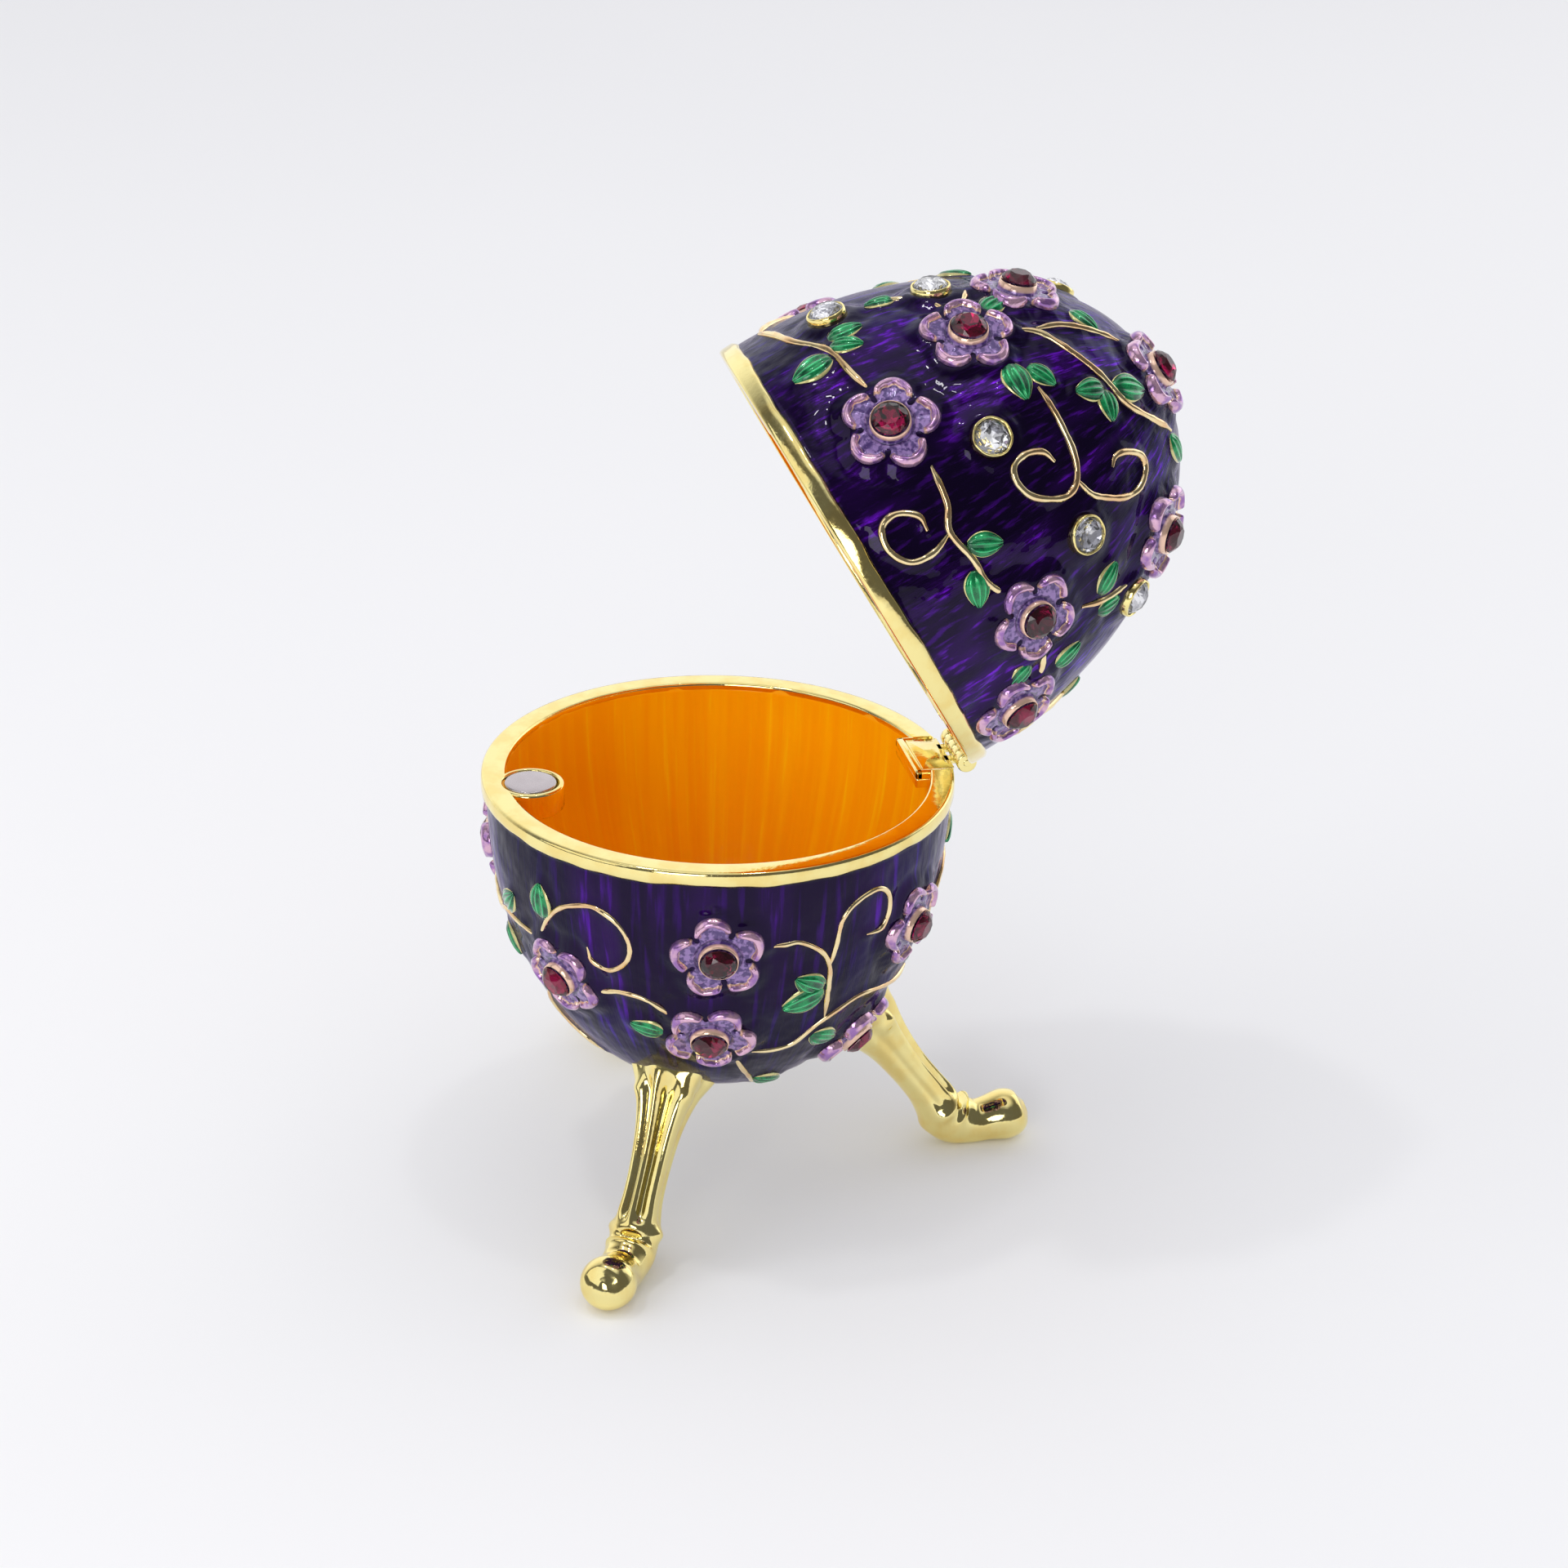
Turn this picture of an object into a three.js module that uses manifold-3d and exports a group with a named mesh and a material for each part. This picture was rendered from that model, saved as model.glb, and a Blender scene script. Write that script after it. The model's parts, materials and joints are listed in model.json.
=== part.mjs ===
// Jewelled egg trinket box: an enamelled metal egg, hinged at its widest line and standing on three cast legs.
// Millimetres, +Z up. The hinge is at the back (+Y) and the magnetic catch at the front (-Y).
// The egg is laid out round its own upright axis, with Z = 0 on the bowl's rim, and moved to the row's
// origin at the end.
import * as THREE from "three";
import { mergeVertices } from "three/addons/utils/BufferGeometryUtils.js";
import Module from "manifold-3d";

const wasm = await Module();
wasm.setup();

// ---- driving dimensions ----
const GAP = 0.3; // clearance between neighbouring pieces
const SIDES = 40; // facets round the egg
const RIM_RADIUS = 27.5;
const RIM_LAND = 2.8; // width of the flat ring that the two halves meet on
const OPEN_ANGLE = THREE.MathUtils.degToRad(59.5); // how far the lid stands open

// Each half is a superellipse of revolution below or above its plain rim band.
const BOWL = {
  up: -1, rim: 0, band: 1.5, radius: 27, height: 36.5, bulge: 2.2, crown: 2, wall: 2.3, steps: 10,
};
const LID = {
  up: 1, rim: GAP, band: 1.8, radius: 27, height: 39, bulge: 2, crown: 1.95, wall: 2.3, steps: 11,
};
const BAND_STEP = 0.5; // height of the small chamfer between the rim band and the enamelled body
const FLOOR_DEPTH = 35.5; // the bowl's flat floor, below its rim

const FLOWER = { radius: 5.4, scallop: 0.16, points: 15, root: 1.3, height: 0.8 };
const BEZEL = { radius: 2.4, points: 8, root: 0.9, height: 0.5 };
const STONE = { girdle: 2.15, base: 1.5, table: 1.2, pavilion: 0.55, crown: 0.75, sides: 8 };

// Places on a half are [azimuth, latitude] in degrees: 0 is +X, 90 the back; latitude runs from rim to pole.
const BOWL_FLOWERS = [
  [349, 14], [347, 35], [304, 26], [47, 17], [47, 48],
  [100, 20], [145, 32], [181, 17], [222, 32], [246, 15],
];
const LID_FLOWERS = [
  [313, 14], [297, 34], [275, 49], [13, 18], [38, 49], [337, 76],
  [37, 8], [92, 34], [138, 15], [158, 47], [190, 21], [227, 13],
];
const LID_CRYSTALS = [
  [328, 27], [4, 33], [273, 33], [271, 15], [40, 36],
  [122, 38], [165, 27], [206, 38], [232, 60],
];

const MAGNET = { radius: 3, thick: 1.5, reach: 22, lug: 3.9, lugDepth: 3.2, sides: 20 };
const HINGE = {
  y: 28.9, z: GAP / 2, radius: 1.2, bore: 0.55, pin: 0.45, knuckle: 1.5, clearance: 0.1, sides: 12,
};
const KNUCKLES = 5; // shared in turn between the two leaves
const HINGE_LENGTH = KNUCKLES * HINGE.knuckle + (KNUCKLES - 1) * HINGE.clearance;
const LEAF = { half: 3.9, inner: 23.7, outer: 27.6, top: 0.05, thick: 0.5 };
const HINGE_LUG = { half: 5.4, inner: 22.4, outer: 26, depth: 2.2 };

const LUG_INSET = 0.2; // keeps a lug's outer end inside the wall

// Each leg's azimuth, and how far it is set in from the others' distance, as the legs are soldered on by hand.
const LEG_PLACES = { leg_back: [90, 0], leg_right: [-32, 3.5], leg_left: [190, 0] };
const GROUND = -53.4; // the plane that the feet stand on, from the rim
const LEG_SECTION = { points: 18, channelAt: 20, channelWidth: 13, channelDepth: 0.2 };
// Stations down a leg in its own upright plane: distance from the axis, height, half width, half thickness,
// and how deep the two channels down its front are, from 0 to 1.
const LEG_STATIONS = [
  { out: 13.6, z: -29.2, wide: 5.2, thick: 5.6, channel: 0 },
  { out: 16.6, z: -32.6, wide: 4.7, thick: 5.0, channel: 0 },
  { out: 19.0, z: -35.3, wide: 3.6, thick: 3.9, channel: 0.3 },
  { out: 21.4, z: -38.3, wide: 2.7, thick: 2.9, channel: 1 },
  { out: 23.9, z: -41.7, wide: 2.4, thick: 2.5, channel: 1 },
  { out: 26.5, z: -45.2, wide: 2.4, thick: 2.5, channel: 1 },
  { out: 28.4, z: -48.0, wide: 2.8, thick: 2.9, channel: 0.7 },
  { out: 30.2, z: -50.1, wide: 2.9, thick: 3.2, channel: 0 },
  { out: 32.6, z: -50.8, wide: 2.8, thick: 2.9, channel: 0 },
  { out: 35.0, z: -50.6, wide: 3.0, thick: 2.9, channel: 0 },
  { out: 37.2, z: -50.3, wide: 3.3, thick: 3.1, channel: 0 },
  { out: 38.9, z: -49.9, wide: 2.6, thick: 2.5, channel: 0 },
  { out: 39.8, z: -49.6, wide: 1.0, thick: 1.0, channel: 0 },
];

const FINISH = {
  enamel: new THREE.MeshStandardMaterial({ color: 0x2d0f5f, roughness: 0.08, metalness: 0.2 }),
  gold: new THREE.MeshStandardMaterial({ color: 0xe8dc98, roughness: 0.12, metalness: 1 }),
  amethyst: new THREE.MeshStandardMaterial({ color: 0x6a1240, roughness: 0.03, metalness: 0 }),
  crystal: new THREE.MeshStandardMaterial({ color: 0xf2f2f6, roughness: 0.02, metalness: 0 }),
  magnet: new THREE.MeshStandardMaterial({ color: 0xc6bcbc, roughness: 0.25, metalness: 1 }),
};

// ---- solids and meshes ----
function solid(geometry) {
  const bare = new THREE.BufferGeometry().setAttribute("position", geometry.getAttribute("position").clone());
  bare.setIndex(geometry.index);
  const merged = mergeVertices(bare, 1e-4);
  return new wasm.Manifold(
    new wasm.Mesh({
      numProp: 3,
      vertProperties: new Float32Array(merged.attributes.position.array),
      triVerts: new Uint32Array(merged.index.array),
    }),
  );
}

function geometryOf(body) {
  const mesh = body.getMesh();
  const points = new Float32Array(mesh.numVert * 3);
  for (let i = 0; i < mesh.numVert; i++) {
    points.set(mesh.vertProperties.subarray(i * mesh.numProp, i * mesh.numProp + 3), i * 3);
  }
  return new THREE.BufferGeometry()
    .setAttribute("position", new THREE.BufferAttribute(points, 3))
    .setIndex(new THREE.BufferAttribute(mesh.triVerts, 1));
}

function piece(name, body, material) {
  const geometry = geometryOf(body);
  geometry.computeVertexNormals();
  const mesh = new THREE.Mesh(geometry, material);
  mesh.name = name;
  return mesh;
}

// A profile of [radius, height] pairs turned round the upright axis.
function turned(profile, sides) {
  const points = profile.map(([r, z]) => new THREE.Vector2(r, z));
  return solid(new THREE.LatheGeometry(points, sides).rotateX(Math.PI / 2));
}

function block(x0, x1, y0, y1, z0, z1) {
  const box = new THREE.BoxGeometry(x1 - x0, y1 - y0, z1 - z0);
  return solid(box.translate((x0 + x1) / 2, (y0 + y1) / 2, (z0 + z1) / 2));
}

function upright(radius, z0, z1, sides) {
  return turned([[0, z0], [radius, z0], [radius, z1], [0, z1]], sides);
}

// A prism over an outline given by a radius for each angle, standing on Z = bottom.
function prism(radiusAt, points, bottom, top) {
  const shape = new THREE.Shape();
  for (let i = 0; i < points; i++) {
    const angle = (i / points) * 2 * Math.PI;
    const x = radiusAt(angle) * Math.cos(angle);
    const y = radiusAt(angle) * Math.sin(angle);
    if (i === 0) shape.moveTo(x, y);
    else shape.lineTo(x, y);
  }
  shape.closePath();
  const body = new THREE.ExtrudeGeometry(shape, { depth: top - bottom, bevelEnabled: false });
  return solid(body.translate(0, 0, bottom));
}

// ---- the two halves ----
// A point of a half's outer surface, grown outwards by some millimetres: radius and height above the rim.
function meridian(half, latitude, grow) {
  const angle = THREE.MathUtils.degToRad(latitude);
  return [
    (half.radius + grow) * Math.cos(angle) ** (2 / half.bulge),
    half.band + BAND_STEP + (half.height + grow) * Math.sin(angle) ** (2 / half.crown),
  ];
}

function domeProfile(half, grow) {
  const profile = [];
  for (let i = 0; i <= half.steps; i++) {
    const [r, h] = meridian(half, (90 * i) / half.steps, grow);
    profile.push([i === half.steps ? 0 : r, h]);
  }
  return profile;
}

// Turns a profile of heights above the rim into the half's own upright place.
function turnedHalf(half, profile) {
  const placed = profile.map(([r, h]) => [r, half.rim + half.up * h]);
  return turned(half.up > 0 ? placed : placed.reverse(), SIDES);
}

// The whole outer form as one solid, to cut a leg's top against.
function outerForm(half, grow) {
  const body = domeProfile(half, grow);
  return turnedHalf(half, [[0, 0], [RIM_RADIUS + grow, 0], [RIM_RADIUS + grow, half.band], ...body]);
}

function hollow(half) {
  const inside = RIM_RADIUS - RIM_LAND;
  const inner = { ...half, radius: inside, height: half.height - half.wall, steps: half.steps - 2 };
  const dome = domeProfile(inner, 0);
  if (half === BOWL) return turnedHalf(half, [[0, -1], [inside, -1], ...flatEnded(dome)]);
  return turnedHalf(half, [[0, -1], [inside, -1], ...dome]);
}

// Cuts a dome profile off at the floor, so that the bowl has a flat bottom inside.
function flatEnded(dome) {
  const kept = dome.filter(([, h]) => h < FLOOR_DEPTH - 0.5);
  const [lastR, lastH] = kept[kept.length - 1];
  const [nextR, nextH] = dome[kept.length];
  const share = (FLOOR_DEPTH - lastH) / (nextH - lastH);
  return [...kept, [lastR + share * (nextR - lastR), FLOOR_DEPTH], [0, FLOOR_DEPTH]];
}

// The frame of a place on a half: X along the rim, Z straight out of the surface.
function placeOn(half, [azimuth, latitude]) {
  const [r, h] = meridian(half, latitude, 0);
  const turn = THREE.MathUtils.degToRad(azimuth);
  const rise = h - half.band - BAND_STEP;
  const outR = (half.bulge / half.radius) * (r / half.radius) ** (half.bulge - 1);
  const outZ = (half.crown / half.height) * (rise / half.height) ** (half.crown - 1);
  const normal = new THREE.Vector3(outR * Math.cos(turn), outR * Math.sin(turn), half.up * outZ).normalize();
  const along = new THREE.Vector3(-Math.sin(turn), Math.cos(turn), 0);
  const across = new THREE.Vector3().crossVectors(normal, along);
  return new THREE.Matrix4()
    .makeBasis(along, across, normal)
    .setPosition(r * Math.cos(turn), r * Math.sin(turn), half.rim + half.up * h);
}

function placed(body, half, place) {
  return body.transform(placeOn(half, place).elements);
}

function flowerBoss(grow) {
  const { radius, scallop } = FLOWER;
  const radiusAt = (angle) => (radius + grow) * (1 - scallop + scallop * Math.cos(5 * angle));
  return prism(radiusAt, FLOWER.points, -FLOWER.root, FLOWER.height + grow);
}

function bezelBoss() {
  return prism(() => BEZEL.radius, BEZEL.points, -BEZEL.root, BEZEL.height);
}

// The two heights that lie the given depths into a half from its rim, the lower one first.
function span(half, near, far) {
  const heights = [half.rim + half.up * near, half.rim + half.up * far];
  return [Math.min(...heights), Math.max(...heights)];
}

// The lug inside the rim that holds a magnet, with the pocket that the magnet sits in.
function magnetLug(half) {
  const lug = upright(MAGNET.lug, ...span(half, 0, MAGNET.lugDepth), MAGNET.sides);
  const pocket = upright(MAGNET.radius + GAP, ...span(half, -1, MAGNET.thick + GAP), MAGNET.sides);
  return { lug: lug.translate(0, -MAGNET.reach, 0), pocket: pocket.translate(0, -MAGNET.reach, 0) };
}

// The lug inside the rim that the hinge leaf is let into, with the recess for the leaf.
function hingeLug(half) {
  const { half: w, inner, outer, depth } = HINGE_LUG;
  const recess = span(half, -1, LEAF.top + LEAF.thick + GAP);
  return {
    lug: block(-w, w, inner, outer, ...span(half, 0, depth)),
    pocket: block(-LEAF.half - GAP, LEAF.half + GAP, LEAF.inner - GAP, RIM_RADIUS + 1, ...recess),
  };
}

function halfShell(half, flowers, crystals) {
  const magnet = magnetLug(half);
  const hinge = hingeLug(half);
  let shell = outerForm(half, 0);
  for (const place of flowers) shell = shell.add(placed(flowerBoss(0), half, place));
  for (const place of crystals) shell = shell.add(placed(bezelBoss(), half, place));
  const lugs = magnet.lug.add(hinge.lug).intersect(outerForm(half, -LUG_INSET));
  return shell.subtract(hollow(half)).add(lugs).subtract(magnet.pocket).subtract(hinge.pocket);
}

// ---- stones, magnets and hinge ----
function stone(sitsAt) {
  const { base, girdle, table, pavilion, crown, sides } = STONE;
  const waist = sitsAt + pavilion;
  const top = waist + crown;
  return turned([[0, sitsAt], [base, sitsAt], [girdle, waist], [table, top], [0, top]], sides);
}

function stones(name, half, places, sitsAt, material) {
  return places.map((place, i) => {
    const label = name + "_" + String(i + 1).padStart(2, "0");
    return piece(label, placed(stone(sitsAt), half, place), material);
  });
}

function magnet(half) {
  return upright(MAGNET.radius, ...span(half, 0, MAGNET.thick), MAGNET.sides).translate(0, -MAGNET.reach, 0);
}

// A round bar along X, centred on the hinge axis.
function hingeBar(radius, x0, x1) {
  const bar = new THREE.CylinderGeometry(radius, radius, x1 - x0, HINGE.sides).rotateZ(Math.PI / 2);
  return solid(bar.translate((x0 + x1) / 2, HINGE.y, HINGE.z));
}

// A leaf with its share of the knuckles: every other one, starting with the given one.
function hingeLeaf(half, first) {
  const [z0, z1] = span(half, LEAF.top, LEAF.top + LEAF.thick);
  let leaf = block(-LEAF.half, LEAF.half, LEAF.inner, LEAF.outer - GAP, z0, z1);
  for (let i = first; i < KNUCKLES; i += 2) {
    const x0 = -HINGE_LENGTH / 2 + i * (HINGE.knuckle + HINGE.clearance);
    const x1 = x0 + HINGE.knuckle;
    leaf = leaf.add(hingeBar(HINGE.radius, x0, x1));
    leaf = leaf.add(block(Math.max(x0, -LEAF.half), Math.min(x1, LEAF.half), LEAF.outer - 1, HINGE.y, z0, z1));
  }
  return leaf.subtract(hingeBar(HINGE.bore, -HINGE_LENGTH, HINGE_LENGTH));
}

// ---- legs ----
// The outline of a leg's cross-section: an oval with two channels down its front.
function legSection(station) {
  const { points, channelAt, channelWidth, channelDepth } = LEG_SECTION;
  const section = [];
  for (let i = 0; i < points; i++) {
    const degrees = (360 * i) / points;
    const fromChannel = Math.abs((degrees > 180 ? 360 - degrees : degrees) - channelAt);
    const dip = station.channel * channelDepth * Math.exp(-((fromChannel / channelWidth) ** 2));
    const angle = THREE.MathUtils.degToRad(degrees);
    section.push([station.thick * (1 - dip) * Math.cos(angle), station.wide * (1 - dip) * Math.sin(angle)]);
  }
  return section;
}

// One ring of points round a station, square to the leg's run there.
function legRing(index) {
  const station = LEG_STATIONS[index];
  const before = LEG_STATIONS[Math.max(index - 1, 0)];
  const after = LEG_STATIONS[Math.min(index + 1, LEG_STATIONS.length - 1)];
  const run = new THREE.Vector2(after.out - before.out, after.z - before.z).normalize();
  const front = new THREE.Vector2(-run.y, run.x); // out of the leg's front, in its own plane
  return legSection(station).map(([forward, side]) => [
    station.out + forward * front.x,
    side,
    station.z + forward * front.y,
  ]);
}

function legForm() {
  const rings = LEG_STATIONS.map((_, i) => legRing(i));
  const n = LEG_SECTION.points;
  const first = LEG_STATIONS[0];
  const last = LEG_STATIONS[LEG_STATIONS.length - 1];
  const points = [...rings.flat(), [first.out, 0, first.z], [last.out, 0, last.z]];
  const [startCap, endCap] = [points.length - 2, points.length - 1];
  const faces = [];
  for (let i = 0; i < n; i++) {
    const j = (i + 1) % n;
    faces.push([startCap, i, j], [endCap, endCap - 1 - n + j, endCap - 1 - n + i]);
    for (let k = 0; k + 1 < rings.length; k++) {
      const [a, b, c, d] = [k * n + i, k * n + j, (k + 1) * n + i, (k + 1) * n + j];
      faces.push([a, d, b], [a, c, d]);
    }
  }
  const geometry = new THREE.BufferGeometry();
  geometry.setAttribute("position", new THREE.Float32BufferAttribute(points.flat(), 3));
  geometry.setIndex(faces.flat());
  return solid(geometry);
}

// A leg set in and turned to its azimuth, cut to the bowl's surface and to the flat ground.
function leg([azimuth, setIn]) {
  const below = block(-60, 60, -60, 60, GROUND - 10, GROUND);
  let body = legForm().translate([-setIn, 0, 0]).rotate([0, 0, azimuth]).subtract(below).subtract(outerForm(BOWL, GAP));
  for (const place of BOWL_FLOWERS) body = body.subtract(placed(flowerBoss(GAP), BOWL, place));
  return body;
}

// ---- the parts in their places ----
function base() {
  const group = new THREE.Group();
  group.add(piece("bowl", halfShell(BOWL, BOWL_FLOWERS, []), FINISH.enamel));
  for (const [name, place] of Object.entries(LEG_PLACES)) group.add(piece(name, leg(place), FINISH.gold));
  group.add(piece("magnet_bowl", magnet(BOWL), FINISH.magnet));
  group.add(piece("hinge_leaf_bowl", hingeLeaf(BOWL, 1), FINISH.gold));
  group.add(piece("hinge_pin", hingeBar(HINGE.pin, -HINGE_LENGTH / 2, HINGE_LENGTH / 2), FINISH.gold));
  group.add(...stones("bowl_amethyst", BOWL, BOWL_FLOWERS, FLOWER.height + GAP, FINISH.amethyst));
  return group;
}

function closedLid() {
  const group = new THREE.Group();
  group.add(piece("lid", halfShell(LID, LID_FLOWERS, LID_CRYSTALS), FINISH.enamel));
  group.add(piece("magnet_lid", magnet(LID), FINISH.magnet));
  group.add(piece("hinge_leaf_lid", hingeLeaf(LID, 0), FINISH.gold));
  group.add(...stones("lid_amethyst", LID, LID_FLOWERS, FLOWER.height + GAP, FINISH.amethyst));
  group.add(...stones("lid_crystal", LID, LID_CRYSTALS, BEZEL.height + GAP, FINISH.crystal));
  return group;
}

// The lid swung back about the hinge axis.
function openLid() {
  const lid = closedLid();
  lid.position.set(0, -HINGE.y, -HINGE.z);
  const swing = new THREE.Group();
  swing.add(lid);
  swing.position.set(0, HINGE.y, HINGE.z);
  swing.rotation.x = -OPEN_ANGLE;
  return swing;
}

const egg = new THREE.Group();
egg.add(base(), openLid());
egg.updateMatrixWorld(true);
const box = new THREE.Box3().setFromObject(egg, true);
egg.position.set(-(box.min.x + box.max.x) / 2, -(box.min.y + box.max.y) / 2, -box.min.z);

const trinketBox = new THREE.Group();
trinketBox.add(egg);

export default trinketBox;
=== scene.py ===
"""Jewelled egg trinket box: the finished pieces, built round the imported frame.

Every piece is laid out in millimetres on the closed egg, with the egg's upright axis at the origin and Z = 0 on the
bowl's rim. It is moved to the row frame, in metres, and swung open with its half, when its mesh is made.
"""

import json
import logging
import math
from dataclasses import dataclass, field
from enum import Enum
from typing import ClassVar, Sequence

import bmesh
import bpy
import numpy as np
from mathutils import Matrix, Vector
from mathutils.kdtree import KDTree


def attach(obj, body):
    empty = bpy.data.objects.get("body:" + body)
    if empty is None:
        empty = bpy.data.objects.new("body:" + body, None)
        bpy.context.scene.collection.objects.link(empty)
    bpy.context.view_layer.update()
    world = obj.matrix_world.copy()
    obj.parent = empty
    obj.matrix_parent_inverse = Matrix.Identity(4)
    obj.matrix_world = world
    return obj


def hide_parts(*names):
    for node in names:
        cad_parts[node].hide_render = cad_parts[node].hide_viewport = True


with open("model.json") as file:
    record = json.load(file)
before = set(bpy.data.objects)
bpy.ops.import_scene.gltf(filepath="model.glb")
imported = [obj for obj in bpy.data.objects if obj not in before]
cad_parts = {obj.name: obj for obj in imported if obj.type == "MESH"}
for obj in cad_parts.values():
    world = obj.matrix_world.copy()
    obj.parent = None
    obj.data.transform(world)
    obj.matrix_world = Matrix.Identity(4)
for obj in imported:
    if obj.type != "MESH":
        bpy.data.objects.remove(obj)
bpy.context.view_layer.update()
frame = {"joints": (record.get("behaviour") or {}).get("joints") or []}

LOG = logging.getLogger("egg_box")

HINGE_Y = 28.9  # the hinge axis, behind the egg's own axis
HINGE_Z = 0.15
RIM_RADIUS = 27.5
LAND_INSIDE = 24.7  # inner edge of the flat gold ring
GROUND = -53.4  # the surface that the feet stand on, from the rim
BOWL_FLOOR = 35.5  # the flat floor inside the bowl, below the rim
BOWL_VINE_GIRTH = 0.34
SEED = 7

Colour = tuple[float, float, float]
Corner = tuple[float, float, float]


class Body(Enum):
    """The two bodies that the pieces ride on."""

    BASE = "base"
    LID = "lid"


class Slot(Enum):
    """The record's material slots."""

    ENAMEL = "enamel"
    GOLD = "gold"
    AMBER = "amber_enamel"
    PETAL = "petal_enamel"
    LEAF = "leaf_enamel"
    AMETHYST = "amethyst"
    CRYSTAL = "crystal"
    MAGNET = "magnet"


# ---- small tools ----
def smooth(value: np.ndarray, low: float, high: float) -> np.ndarray:
    """Rises smoothly from 0 at low to 1 at high."""
    share = np.clip((value - low) / (high - low), 0, 1)
    return share * share * (3 - 2 * share)


def hump(value: np.ndarray, width: float) -> np.ndarray:
    """A bell of height 1 round 0, with the given width."""
    return np.exp(-((value / width) ** 2))


def ripple(angle: np.ndarray, waves: Sequence[tuple[int, float, float]]) -> np.ndarray:
    """A closed, uneven wave round a circle.

    Args:
        angle: Angles in radians.
        waves: Count round the circle, height and phase of each sine in it.

    Returns:
        The sum of the sines at each angle.
    """
    return sum(height * np.sin(count * angle + phase) for count, height, phase in waves)


def through(points: np.ndarray, steps: int) -> np.ndarray:
    """A smooth curve through points.

    Args:
        points: One row of values for each point, with places and any sizes.
        steps: Steps from each point to the next.

    Returns:
        The rows along the curve, the last point included.
    """
    padded = np.vstack([2 * points[0] - points[1], points, 2 * points[-1] - points[-2]])
    rows = []
    for a, b, c, d in zip(padded, padded[1:], padded[2:], padded[3:]):
        for step in range(steps):
            t = step / steps
            rows.append(
                0.5 * (2 * b + (c - a) * t + (2 * a - 5 * b + 4 * c - d) * t**2 + (3 * b - a - 3 * c + d) * t**3)
            )
    return np.array([*rows, points[-1]])


class Stock:
    """The points, faces and marks of one piece, gathered patch by patch."""

    def __init__(self) -> None:
        """Starts empty."""
        self.points: list[np.ndarray] = []
        self.faces: list[list[int]] = []
        self.marks: dict[str, list[np.ndarray]] = {}
        self.count = 0

    def add(self, points: np.ndarray, faces: Sequence[Sequence[int]], **marks: np.ndarray) -> None:
        """Adds a patch.

        Args:
            points: Its points, in millimetres.
            faces: Its faces, by the places of their points in the patch.
            **marks: A number or a vector for each point, by the attribute's name.
        """
        self.points.append(np.asarray(points, float))
        self.faces.extend([int(i) + self.count for i in face] for face in faces)
        for name, values in marks.items():
            self.marks.setdefault(name, []).append(np.asarray(values, float))
        self.count += len(points)

    def add_rings(self, rings: np.ndarray, caps: bool = True, **marks: np.ndarray) -> None:
        """Adds a skin over closed rings of points.

        Args:
            rings: Rows of points, shaped (rows, points round, 3).
            caps: True to close each end with a fan, False to join the last ring to the first.
            **marks: A value for each point of each ring, in the same rows.
        """
        rows, round_ = rings.shape[:2]
        faces = []
        for row in range(rows - 1 if caps else rows):
            here, there = row * round_, ((row + 1) % rows) * round_
            faces += [
                [here + i, here + (i + 1) % round_, there + (i + 1) % round_, there + i] for i in range(round_)
            ]
        points = rings.reshape(-1, 3)
        flat = {name: values.reshape(rows * round_, -1) for name, values in marks.items()}
        if caps:
            first, last = len(points), len(points) + 1
            top = (rows - 1) * round_
            points = np.vstack([points, rings[0].mean(0), rings[-1].mean(0)])
            flat = {n: np.vstack([v, v[:round_].mean(0), v[-round_:].mean(0)]) for n, v in flat.items()}
            for i in range(round_):
                faces.append([first, (i + 1) % round_, i])
                faces.append([last, top + i, top + (i + 1) % round_])
        self.add(points, faces, **{n: v[:, 0] if v.shape[1] == 1 else v for n, v in flat.items()})

    def add_block(self, low: Corner, high: Corner, bevel: float) -> None:
        """Adds an upright block with bevelled edges, between two corners.

        Args:
            low: Its lowest corner.
            high: Its highest corner.
            bevel: The bevel's width.
        """
        levels = [(0, bevel), (bevel * 0.3, bevel * 0.3), (bevel, 0)]
        z0, z1 = low[2], high[2]
        sections = [(z0 + rise, inset) for rise, inset in levels]
        sections += [(z1 - rise, inset) for rise, inset in reversed(levels)]
        rings = []
        for z, inset in sections:
            ring = []
            for sx, sy in ((1, 1), (-1, 1), (-1, -1), (1, -1)):
                cx = (high[0] if sx > 0 else low[0]) - sx * bevel
                cy = (high[1] if sy > 0 else low[1]) - sy * bevel
                start = {(1, 1): 0, (-1, 1): 90, (-1, -1): 180, (1, -1): 270}[sx, sy]
                for turn in (0, 30, 60, 90):
                    angle = math.radians(start + turn)
                    reach = bevel - inset
                    ring.append((cx + reach * math.cos(angle), cy + reach * math.sin(angle), z))
            rings.append(ring)
        self.add_rings(np.array(rings))

    def mesh(self, name: str, to_row: Matrix | None = None, shaded: bool = True) -> bpy.types.Object:
        """Makes the piece.

        Args:
            name: The piece's name.
            to_row: Moves its points to the row frame, or None to leave them in millimetres.
            shaded: True for smooth shading.

        Returns:
            The object, in the scene, with outward faces.
        """
        made = bpy.data.meshes.new(name)
        made.from_pydata(np.vstack(self.points).tolist(), [], self.faces)
        for label, parts in self.marks.items():
            values = np.concatenate(parts)
            kind = "FLOAT" if values.ndim == 1 else "FLOAT_VECTOR"
            key = "value" if values.ndim == 1 else "vector"
            made.attributes.new(label, kind, "POINT").data.foreach_set(key, values.astype(np.float32).ravel())
        made.polygons.foreach_set("use_smooth", [shaded] * len(self.faces))
        turn_outwards(made)
        if to_row is not None:
            made.transform(to_row)
        piece = bpy.data.objects.new(name, made)
        bpy.context.scene.collection.objects.link(piece)
        return piece


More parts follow.
